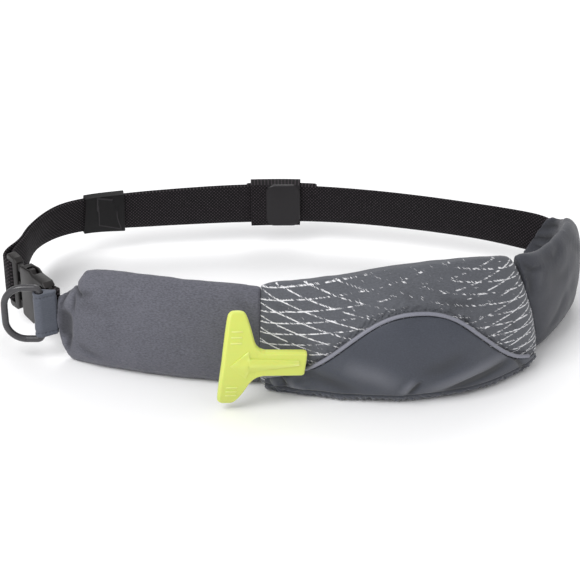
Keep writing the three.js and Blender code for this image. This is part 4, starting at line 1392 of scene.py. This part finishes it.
@dataclass
class PouchTrim(SubAssembly):
    """What is sewn on the pouch: the lower cover with its gathered hem, and the piping over it."""

    pouch: bpy.types.Object | None = None
    cover_levels: int = 3
    cover_back: float = 0.25
    cover_face: float = 1.0
    hem_height: float = 7.5
    hem_gathers: Ripple = Ripple(seed=3, count=12, pitch=3.6, height=0.9)
    slack: Ripple = Ripple(seed=11, count=10, pitch=28.0, height=0.35)
    crumples: Ripple = Ripple(seed=13, count=12, pitch=11.0, height=0.8)
    crumpled: tuple[float, float] = (14.0, 20.0)
    hem_seam_above: float = 1.5
    hem_seam_width: float = 1.2
    hem_seam_depth: float = 1.3
    cover_deepest: float = 1.8
    # The cloth's tallest and longest arc in metres and its flat area in square metres, off the CAD solid.
    cover_flat: tuple[float, float] = (0.086, 0.25)
    cover_area: float = 0.0127
    piping_radius: float = 1.6
    piping_trim: int = 2
    piping_sides: int = 16
    cover_folds: tuple[Fold, ...] = (
        Fold(((186, 34), (162, 29), (138, 20), (120, 13)), 5.0, -1.8),
        Fold(((187, 25), (160, 19), (134, 11)), 4.5, 2.4),
        Fold(((188, 28), (195, 16), (201, 5)), 1.5, 2.2, runs_out=False),
        Fold(((150, 46), (134, 36), (118, 34)), 7.0, 1.0),
        Fold(((110, 10), (114, 17), (119, 25)), 2.0, 2.2),
        Fold(((105, 13), (109, 20), (114, 28)), 2.8, -1.4),
        Fold(((60, 40), (84, 32), (104, 22)), 8.0, -1.2),
        Fold(((28, 30), (48, 24), (72, 14)), 6.0, 1.3),
        Fold(((12, 22), (17, 15), (16, 9)), 1.8, 1.8),
        Fold(((20, 20), (24, 13), (34, 10)), 2.0, -1.5),
        Fold(((5, 18), (9, 12), (8, 7)), 1.8, -1.4),
    )

    def route(self, node: str, count: int) -> list[Vector]:
        """Reads the middle line of a long thin node that runs round the waist.

        Args:
            node: the CAD node's name.
            count: how many points the line gets.

        Returns:
            The line's points in metres.
        """
        points = mesh_points(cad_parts[node].data)
        along = self.waist.places(points)[:, 0]
        edges = np.linspace(along.min(), along.max(), count + 1)
        line = []
        for low, high in zip(edges, edges[1:]):
            inside = (along >= low) & (along <= high)
            if inside.any():
                line.append(Vector(points[inside].mean(axis=0)))
        return line

    def lift_off(self, piece: bpy.types.Object, back: float, face: float) -> None:
        """Keeps a sheet clear of the pouch under it.

        Args:
            piece: the sheet.
            back: the least gap under its inner side in millimetres.
            face: the least height of its outer side in millimetres.
        """
        tree = surface_of(self.pouch)
        points = mesh_points(piece.data)
        normals = mesh_normals(piece.data)
        for i, point in enumerate(points):
            near, normal, _, _ = tree.find_nearest(Vector(point))
            least = face if Vector(normals[i]).dot(normal) > -0.2 else back
            gap = (Vector(point) - near).dot(normal) / MM
            if gap < least:
                points[i] = np.array(Vector(point) + normal * (least - gap) * MM)
        set_points(piece.data, points)

    def cover(self) -> bpy.types.Object:
        """Makes the lower cover with its folds and gathered hem.

        Returns:
            The cover.
        """
        shape = node_shape("lower_cover")
        join_quads(shape, 30.0, 50.0)
        sheet = new_object("lower_cover_cloth", shape)
        subdivide(sheet, self.cover_levels)
        points = mesh_points(sheet.data)
        normals = mesh_normals(sheet.data)
        places = self.waist.places(points)
        along = places[:, 0] - places[:, 0].min()
        up = places[:, 1]
        sunk = sum(fold.depths(along, up) for fold in self.cover_folds)
        outer = soft_step(-0.1, 0.5, outward(points, normals)) * soft_step(0.8, 3.0, up)
        near_hem = hump(up, 0.55 * self.hem_height, 0.4 * self.hem_height)
        gathers = self.hem_gathers.at(along + 0.5 * up, up * 0.5) * near_hem
        crumples = self.crumples.at(along, up) * hump(along, *self.crumpled)
        raised = gathers + self.slack.at(along, up) + crumples
        seam = hump(up, self.hem_height + self.hem_seam_above, self.hem_seam_width) * self.hem_seam_depth
        set_points(sheet.data, points + normals * ((outer * (raised - sunk - seam))[:, None] * MM))
        # Painted shade in the cover's folds and hem seam, and painted highlight on its raised gathers.
        store_values(sheet, FOLD_LIGHT_PAINT, np.clip((sunk + seam - gathers) / self.cover_deepest, -1.0, 1.0))
        self.lift_off(sheet, self.cover_back, self.cover_face)
        return sheet

    def tube(self, name: str, line: list[Vector], radius: float, sides: int) -> bpy.types.Object:
        """Sweeps a round cord along a line.

        Args:
            name: the piece's name.
            line: the line's points in metres.
            radius: the cord's radius in millimetres.
            sides: how many sides it has round.

        Returns:
            The cord as a mesh with closed ends.
        """
        shape = bmesh.new()
        rings = []
        for i, point in enumerate(line):
            run = (line[min(i + 1, len(line) - 1)] - line[max(i - 1, 0)]).normalized()
            ring = bmesh.ops.create_circle(shape, cap_ends=False, radius=radius * MM, segments=sides)
            turn = run.to_track_quat("Z", "Y").to_matrix().to_4x4()
            turn.translation = point
            bmesh.ops.transform(shape, matrix=turn, verts=ring["verts"])
            rings.append([edge for edge in shape.edges if all(vert in ring["verts"] for vert in edge.verts)])
        for a, b in zip(rings, rings[1:]):
            bmesh.ops.bridge_loops(shape, edges=a + b)
        bmesh.ops.holes_fill(shape, edges=shape.edges, sides=sides)
        bmesh.ops.recalc_face_normals(shape, faces=shape.faces)
        cord = new_object(name, shape)
        shade_smooth(cord, 60.0)
        return cord

    def piping(self) -> bpy.types.Object:
        """Makes the piping as a round cord that lies on the pouch.

        Returns:
            The piping.
        """
        tree = surface_of(self.pouch)
        lifted = []
        for point in self.route("piping", 46)[: -self.piping_trim]:
            near, normal, _, _ = tree.find_nearest(point)
            gap = (point - near).dot(normal) / MM
            lifted.append(point + normal * max(0.0, self.piping_radius + 0.1 - gap) * MM)
        for _ in range(3):
            middle = [(a + 2.0 * b + c) / 4.0 for a, b, c in zip(lifted, lifted[1:], lifted[2:])]
            lifted = [lifted[0], *middle, lifted[-1]]
        return self.tube("piping_cord", lifted, self.piping_radius, self.piping_sides)

    def build(self) -> None:
        """Makes the cover, the piping and the stitches beside it."""
        cover = self.cover()
        shade_smooth(cover)
        self.keep(cover, "cover", Slot.PLAIN_CLOTH, "lower_cover")
        piping = self.piping()
        self.keep(piping, "piping", Slot.PIPING_CORD, "piping")
        tree = surface_of(self.pouch)
        points, facing = [], []
        for point in self.route("piping", 60):
            near, normal, _, _ = tree.find_nearest(point + Vector((0.0, 0.0, 3.4 * MM)))
            points.append(near)
            facing.append(normal)
        row = self.stitches("piping_stitches", points, facing)
        self.keep(row, "thread", Slot.PLAIN_CLOTH)


@dataclass
class WaistBelt(SubAssembly):
    """The webbing belt with its keeper, slide and anchor strap."""

    webbing_levels: int = 2
    edge_firmness: float = 0.75
    slide_rounding: float = 0.7
    plate_thickness: float = 2.4
    flap_length: float = 29.0
    flap_height: float = 37.0
    flap_shift: float = 4.0
    flap_lean: float = 3.0
    flap_lift: float = 0.4
    flap_thickness: float = 0.8

    def webbing(self) -> bpy.types.Object:
        """Makes the webbing smooth along its run, with firm edges.

        Returns:
            The webbing.
        """
        shape = node_shape("belt_webbing")
        join_quads(shape, 40.0, 60.0)
        crease = shape.edges.layers.float.new("crease_edge")
        for edge in sharp_edges(shape, 55.0):
            edge[crease] = self.edge_firmness
        strap = new_object("belt_webbing_weave", shape)
        subdivide(strap, self.webbing_levels)
        shade_smooth(strap, 70.0)
        return strap

    def slide(self) -> bpy.types.Object:
        """Makes the slide, whose smooth plate faces the wearer and whose sleeve looks woven.

        Returns:
            The slide, with material number 1 on its plate.
        """
        slide = self.rounded("belt_slide", "belt_slide_moulding", self.slide_rounding)
        out = self.waist.places(mesh_points(slide.data))[:, 2]
        limit = out.min() + self.plate_thickness
        slide.data.materials.append(None)
        slide.data.materials.append(None)
        for face in slide.data.polygons:
            face.material_index = int(out[list(face.vertices)].mean() < limit)
        return slide

    def flap(self) -> bpy.types.Object:
        """Makes the keeper's upper fold, a thin flap that lies on the wearer's side of its band.

        Returns:
            The flap.
        """
        points = mesh_points(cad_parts["belt_keeper"].data)
        centre = Vector((points.min(axis=0) + points.max(axis=0)) / 2.0)
        tree = node_surface("belt_keeper")
        grid = bmesh.new()
        bmesh.ops.create_grid(grid, x_segments=16, y_segments=20, size=0.5)
        run = Vector((-centre.y, centre.x, 0.0)).normalized()
        for vert in grid.verts:
            lean = self.flap_lean * math.cos(vert.co.y * math.pi * 1.6)
            along = (self.flap_shift + vert.co.x * self.flap_length + lean * (0.5 - vert.co.x)) * MM
            start = centre + run * along + Vector((0.0, 0.0, vert.co.y * self.flap_height * MM))
            away = Vector((start.x, start.y, 0.0)).normalized()
            near, normal, _, _ = tree.find_nearest(start - away * 12.0 * MM)
            vert.co = near + normal * self.flap_lift * MM
        # The rim faces take material 1, a lighter band cloth that paints a highlight along the flap's edge.
        for face in grid.faces:
            face.material_index = int(any(edge.is_boundary for edge in face.edges))
        bmesh.ops.solidify(grid, geom=grid.faces, thickness=self.flap_thickness * MM)
        bmesh.ops.recalc_face_normals(grid, faces=grid.faces)
        flap = new_object("belt_keeper_flap", grid)
        flap.data.materials.append(None)
        flap.data.materials.append(None)
        subdivide(flap, 1)
        shade_smooth(flap, 60.0)
        return flap

    def build(self) -> None:
        """Makes the belt's pieces and dresses them."""
        self.keep(self.webbing(), "webbing", Slot.WEBBING, "belt_webbing")
        keeper = self.rounded("belt_keeper", "belt_keeper_band", 0.7)
        self.keep(keeper, "band", Slot.WEBBING, "belt_keeper")
        self.keep(self.flap(), ("band", "band_rim_highlight"), Slot.WEBBING)
        self.keep(self.slide(), ("webbing", "plate"), Slot.BLACK_PLASTIC, "belt_slide")
        anchor = self.rounded("anchor_strap", "anchor_strap_weave", 0.4)
        self.keep(anchor, "webbing", Slot.WEBBING, "anchor_strap")


@dataclass
class SideBuckle(SubAssembly):
    """The fastened side-release buckle: its socket and its plug."""

    def build(self) -> None:
        """Makes both halves and dresses them."""
        for node, radius in (("buckle_socket", 0.7), ("buckle_plug", 0.6)):
            piece = self.rounded(node, node + "_moulding", radius)
            self.keep(piece, "black", Slot.BLACK_PLASTIC, node)


@dataclass
class RingOnTab(SubAssembly):
    """The D-ring and the cloth tab that holds it."""

    tab_voxel: float = 0.6
    row_inset: float = 4.0
    row_depth: float = 0.5
    tab_waves: Ripple = Ripple(seed=5, count=8, pitch=13.0, height=0.14)

    def ring(self) -> bpy.types.Object:
        """Makes the ring smooth all round.

        Returns:
            The ring.
        """
        shape = node_shape("d_ring")
        join_quads(shape, 40.0, 60.0)
        ring = new_object("d_ring_moulding", shape)
        subdivide(ring, 2)
        shade_smooth(ring)
        return ring

    def tab(self) -> bpy.types.Object:
        """Makes the cloth tab, pinched a little where its rows of stitches cross it.

        Returns:
            The tab.
        """
        tab = self.rounded("ring_tab", "ring_tab_cloth", 0.5)
        shape = bmesh.new()
        shape.from_mesh(tab.data)
        bmesh.ops.triangulate(shape, faces=shape.faces)
        shape.to_mesh(tab.data)
        shape.free()
        voxel_remesh(tab, self.tab_voxel)
        points = mesh_points(tab.data)
        up = points[:, 2] / MM
        low, high = up.min() + self.row_inset, up.max() - self.row_inset
        sunk = self.row_depth * (hump(up, low, 1.0) + hump(up, high, 1.0))
        waves = self.tab_waves.at(self.waist.places(points)[:, 0], up)
        set_points(tab.data, points - mesh_normals(tab.data) * ((sunk + waves)[:, None] * MM))
        shade_smooth(tab)
        return tab

    def rows(self, tab: bpy.types.Object) -> None:
        """Sews the tab's two rows of stitches.

        Args:
            tab: the finished tab.
        """
        tree = surface_of(tab)
        points = mesh_points(tab.data)
        low, high = points.min(axis=0), points.max(axis=0)
        inset = self.row_inset * MM
        for name, height in (("upper", high[2] - inset), ("lower", low[2] + inset)):
            line, facing = [], []
            for x in np.linspace(low[0] + 2.0 * MM, high[0] - 1.0 * MM, 12):
                hit = tree.ray_cast(Vector((x, low[1] - 0.02, height)), Vector((0.0, 1.0, 0.0)))
                if hit[0] is not None:
                    line.append(hit[0])
                    facing.append(hit[1])
            row = self.stitches(f"ring_tab_{name}_stitches", line, facing, 3.0, 2.2, 0.6)
            self.keep(row, "thread", Slot.HEATHER_CLOTH)

    def build(self) -> None:
        """Makes the ring and its tab and dresses them."""
        self.keep(self.ring(), "grey", Slot.GREY_PLASTIC, "d_ring")
        tab = self.tab()
        self.keep(tab, "tab", Slot.HEATHER_CLOTH, "ring_tab")
        self.rows(tab)


@dataclass
class PullHandle(SubAssembly):
    """The moulded T-shaped pull handle, with its grip bars, and the short strap behind it."""

    voxel: float = 0.5
    smooth_rounds: int = 2
    bar_share: float = 0.62
    grip_places: tuple[float, ...] = (29.0, 24.5, 20.0, -21.0, -25.5, -30.0)
    grip_length: float = 9.0
    grip_width: float = 1.5
    grip_height: float = 1.1
    grip_rounding: float = 0.35
    arrow_raise: float = 0.8
    arrow_height: float = 0.44
    arrow_tilt: float = 6.0
    arrow_outline: tuple[tuple[float, float], ...] = (
        (0.16, 0.0),
        (0.36, 12.2),
        (0.37, 5.8),
        (0.91, 2.0),
        (0.91, -2.0),
        (0.36, -6.2),
        (0.32, -12.2),
    )

    def moulding(self) -> bpy.types.Object:
        """Makes the handle's rounded body.

        Returns:
            The handle.
        """
        body = new_object("pull_handle_moulding", node_shape("pull_handle"))
        voxel_remesh(body, self.voxel)
        even_out(body, self.smooth_rounds)
        shade_smooth(body)
        return body

    def grips(self, body: bpy.types.Object) -> bpy.types.Object:
        """Makes the raised grip bars across the handle's bar.

        Args:
            body: the handle.

        Returns:
            The grip bars as one object.
        """
        points = mesh_points(body.data)
        low, high = points.min(axis=0), points.max(axis=0)
        bar = points[points[:, 0] < low[0] + (high[0] - low[0]) * (1.0 - self.bar_share)]
        middle = bar.mean(axis=0)
        spread = np.linalg.svd(bar - middle, full_matrices=False)[2]
        axis = Vector(spread[0] if spread[0][2] > 0 else -spread[0])
        tree = surface_of(body)
        shape = bmesh.new()
        for place in self.grip_places:
            aim = Vector(middle) + axis * place * MM
            hit, normal, _, _ = tree.ray_cast(aim - Vector((0.0, 0.05, 0.0)), Vector((0.0, 1.0, 0.0)))
            if hit is None:
                continue
            across = axis.cross(normal).normalized()
            turn = Matrix((across, normal.cross(across), normal)).transposed().to_4x4()
            turn.translation = hit
            size = (self.grip_length * MM, self.grip_width * MM, self.grip_height * MM, 1.0)
            made = bmesh.ops.create_cube(shape, size=1.0, matrix=turn @ Matrix.Diagonal(size))
            edges = {edge for vert in made["verts"] for edge in vert.link_edges}
            round_edges(shape, list(edges), self.grip_rounding, segments=2)
        bmesh.ops.recalc_face_normals(shape, faces=shape.faces)
        grips = new_object("pull_handle_grip_bars", shape)
        shade_smooth(grips, 50.0)
        return grips

    def arrow(self, body: bpy.types.Object) -> bpy.types.Object:
        """Makes the raised arrow on the handle's face, whose shaft runs on along the stem as a rib.

        Args:
            body: the handle.

        Returns:
            The arrow.
        """
        low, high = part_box("pull_handle")
        tree = surface_of(body)
        plate = bmesh.new()
        corners = []
        for along, up in self.arrow_outline:
            tilt = (1.0 - along) * self.arrow_tilt
            middle = low[2] + (high[2] - low[2]) * self.arrow_height + tilt * MM
            corners.append(plate.verts.new((low[0] + (high[0] - low[0]) * along, 0.0, middle + up * MM)))
        face = plate.faces.new(corners)
        bmesh.ops.triangulate(plate, faces=[face])
        bmesh.ops.subdivide_edges(plate, edges=plate.edges, cuts=7, use_grid_fill=True)
        for vert in plate.verts:
            before = Vector((vert.co.x, low[1] - 0.02, vert.co.z))
            hit, normal, _, _ = tree.ray_cast(before, Vector((0.0, 1.0, 0.0)))
            vert.co = hit + normal * self.arrow_raise * MM
        bmesh.ops.recalc_face_normals(plate, faces=plate.faces)
        bmesh.ops.solidify(plate, geom=plate.faces, thickness=2.0 * self.arrow_raise * MM)
        bmesh.ops.recalc_face_normals(plate, faces=plate.faces)
        round_edges(plate, sharp_edges(plate, 50.0), self.grip_rounding, segments=2)
        arrow = new_object("pull_handle_arrow", plate)
        shade_smooth(arrow, 40.0)
        return arrow

    def build(self) -> None:
        """Makes the handle and dresses it and its strap."""
        body = self.moulding()
        self.keep(self.arrow(body), "lime", Slot.LIME_PLASTIC)
        self.keep(self.grips(body), "lime", Slot.LIME_PLASTIC)
        self.keep(body, "lime", Slot.LIME_PLASTIC, "pull_handle")
        strap = new_object("handle_strap_weave", node_shape("handle_strap"))
        subdivide(strap, 2)
        shade_smooth(strap, 60.0)
        self.keep(strap, "webbing", Slot.WEBBING, "handle_strap")


@dataclass(frozen=True)
class SoftLight:
    """A square soft light: its name, its place and side in millimetres, and its power in watts."""

    name: str
    place: tuple[float, float, float]
    size: float
    power: float


@dataclass
class Studio:
    """The pale floor, the soft lights and the camera at the photograph's angle."""

    image_width: int = 580
    focal_pixels: float = 1790.0
    camera_at: tuple[float, float, float] = (-3.12, -1329.41, 800.0)
    looks_at: tuple[float, float, float] = (-3.12, -30.37, 50.0)
    floor_size: float = 9000.0
    room_light: float = 0.62
    lights: tuple[SoftLight, ...] = (
        SoftLight("key_light", (-1000.0, -1100.0, 1700.0), size=1100.0, power=30.0),
        SoftLight("fill_light", (1400.0, -1100.0, 1300.0), size=1800.0, power=3.0),
        SoftLight("back_light", (300.0, 1600.0, 1700.0), size=1200.0, power=16.0),
    )
    paper: StudioPaper = StudioPaper("white background paper", roughness=0.9)

    def camera(self) -> None:
        """Sets the camera."""
        data = bpy.data.cameras.new("studio_camera")
        data.sensor_width = 36.0
        data.lens = data.sensor_width * self.focal_pixels / self.image_width
        data.clip_end = 100.0
        made = bpy.data.objects.new("studio_camera", data)
        bpy.context.scene.collection.objects.link(made)
        place = Vector(self.camera_at) * MM
        made.location = place
        made.rotation_euler = (Vector(self.looks_at) * MM - place).to_track_quat("-Z", "Y").to_euler()
        bpy.context.scene.camera = made

    def light(self, hung: SoftLight) -> None:
        """Hangs a soft light that faces the object.

        Args:
            hung: what the light is.
        """
        data = bpy.data.lights.new(hung.name, "AREA")
        data.shape = "SQUARE"
        data.size = hung.size * MM
        data.energy = hung.power
        made = bpy.data.objects.new(hung.name, data)
        bpy.context.scene.collection.objects.link(made)
        made.location = Vector(hung.place) * MM
        made.rotation_euler = (-made.location).to_track_quat("-Z", "Y").to_euler()

    def floor(self) -> None:
        """Lays the floor."""
        shape = bmesh.new()
        bmesh.ops.create_grid(shape, x_segments=2, y_segments=2, size=self.floor_size * MM)
        made = new_object("studio_floor", shape)
        made.data.materials.append(self.paper.build())

    def sky(self) -> None:
        """Sets the even light of the room."""
        world = bpy.data.worlds.new("studio_room")
        world.use_nodes = True
        back = world.node_tree.nodes["Background"]
        back.inputs["Color"].default_value = linear("ffffff")
        back.inputs["Strength"].default_value = self.room_light
        bpy.context.scene.world = world

    def build(self) -> None:
        """Sets up the room."""
        bpy.context.scene.view_settings.view_transform = "Standard"
        self.camera()
        self.floor()
        self.sky()
        for hung in self.lights:
            self.light(hung)


def make_finishes(waist: WaistLine) -> dict[str, bpy.types.Material]:
    """Builds every finish once.

    Args:
        waist: the waist's line, which centres the print on the pouch.

    Returns:
        The materials by a short name.
    """
    pouch = waist.places(mesh_points(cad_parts["pouch"].data))[:, 0]
    middle = float(pouch.min() + pouch.max()) / 2.0
    finishes: dict[str, Finish] = {
        "heather": WovenCloth("heathered graphite polyester", roughness=0.85, dark="3c3d44", light="6e6e78"),
        # A plainer cloth than the panel's, whose colour is also darkened as painted shade on the wing's side
        # away from the light.
        "side cloth": WovenCloth(
            "graphite side polyester with painted shade",
            roughness=0.7,
            dark="2b2c33",
            light="3f4149",
            grain_length=1.2,
            sheen=0.2,
        ),
        "printed": PrintedCloth(
            "graphite polyester with reflective print",
            roughness=0.8,
            dark="414348",
            light="5e6067",
            middle=middle,
            arcs=(
                BrokenArcs(30.0, 520.0, 9.2, -100.0, 24.0, 1.0),
                BrokenArcs(-230.0, 900.0, 8.4, -110.0, 34.0, 5.0),
                BrokenArcs(-10.0, 660.0, 8.8, 100.0, 0.0, 9.0),
                BrokenArcs(210.0, 720.0, 8.2, 106.0, -24.0, 14.0),
            ),
        ),
        "cover": WovenCloth(
            "plain slate polyester",
            roughness=0.55,
            dark="2f323b",
            light="424651",
            grain_length=1.2,
            sheen=0.25,
            # The cover's painted shade in folds and painted highlight on ridges are stronger.
            shade_in_folds=0.75,
            highlight_on_ridges=0.34,
        ),
        "tab": WovenCloth("slate polyester tape", roughness=0.8, dark="42464f", light="5d616c", sheen=0.15),
        "piping": WovenCloth(
            "grey reflective piping", roughness=0.5, dark="6c6d78", light="878893", grain_length=0.9
        ),
        "webbing": WovenWebbing("black woven nylon webbing", roughness=0.85),
        "band": WovenCloth(
            "black binding band",
            roughness=0.6,
            dark="050405",
            light="0f0d10",
            grain_length=1.0,
            sheen=0.0,
            specular=0.25,
        ),
        # A lighter copy of the band cloth, as a painted highlight on the flap's rim.
        "band_rim_highlight": WovenCloth(
            "binding band rim with painted highlight",
            roughness=0.5,
            dark="1b181b",
            light="2d292d",
            grain_length=1.0,
            sheen=0.0,
            specular=0.3,
        ),
        "black": MouldedPlastic(
            "black moulded acetal", roughness=0.42, base="0f0d0d", edge="4b4646", specular=0.35
        ),
        "plate": MouldedPlastic(
            "satin black moulded acetal", roughness=0.42, base="1a171a", edge="2c292c", specular=0.35
        ),
        # The D-ring's much lighter edges are a painted highlight on its rims.
        "grey": MouldedPlastic("grey moulded nylon", roughness=0.28, base="353437", edge="9b9a9e"),
        # The handle's lighter edges are partly a painted highlight on its rims.
        "lime": MouldedPlastic(
            "lime moulded polypropylene", roughness=0.42, base="ced764", edge="f3f6b6", glow=0.15
        ),
        "thread": SpunThread("graphite polyester thread", roughness=0.7),
    }
    return {name: finish.build() for name, finish in finishes.items()}


def main() -> None:
    """Builds the studio and every sub-assembly in order."""
    logging.basicConfig(level=logging.INFO, format="%(name)s: %(message)s")
    Studio().build()
    waist = WaistLine(("side_panel", "pouch", "side_wing", "belt_webbing", "buckle_socket", "buckle_plug"))
    finishes = make_finishes(waist)
    padded_front = PaddedFront(waist, finishes)
    padded_front.build()
    PouchTrim(waist, finishes, pouch=padded_front.pieces["pouch"]).build()
    WaistBelt(waist, finishes).build()
    SideBuckle(waist, finishes).build()
    RingOnTab(waist, finishes).build()
    PullHandle(waist, finishes).build()


if __name__ == "__main__":
    main()
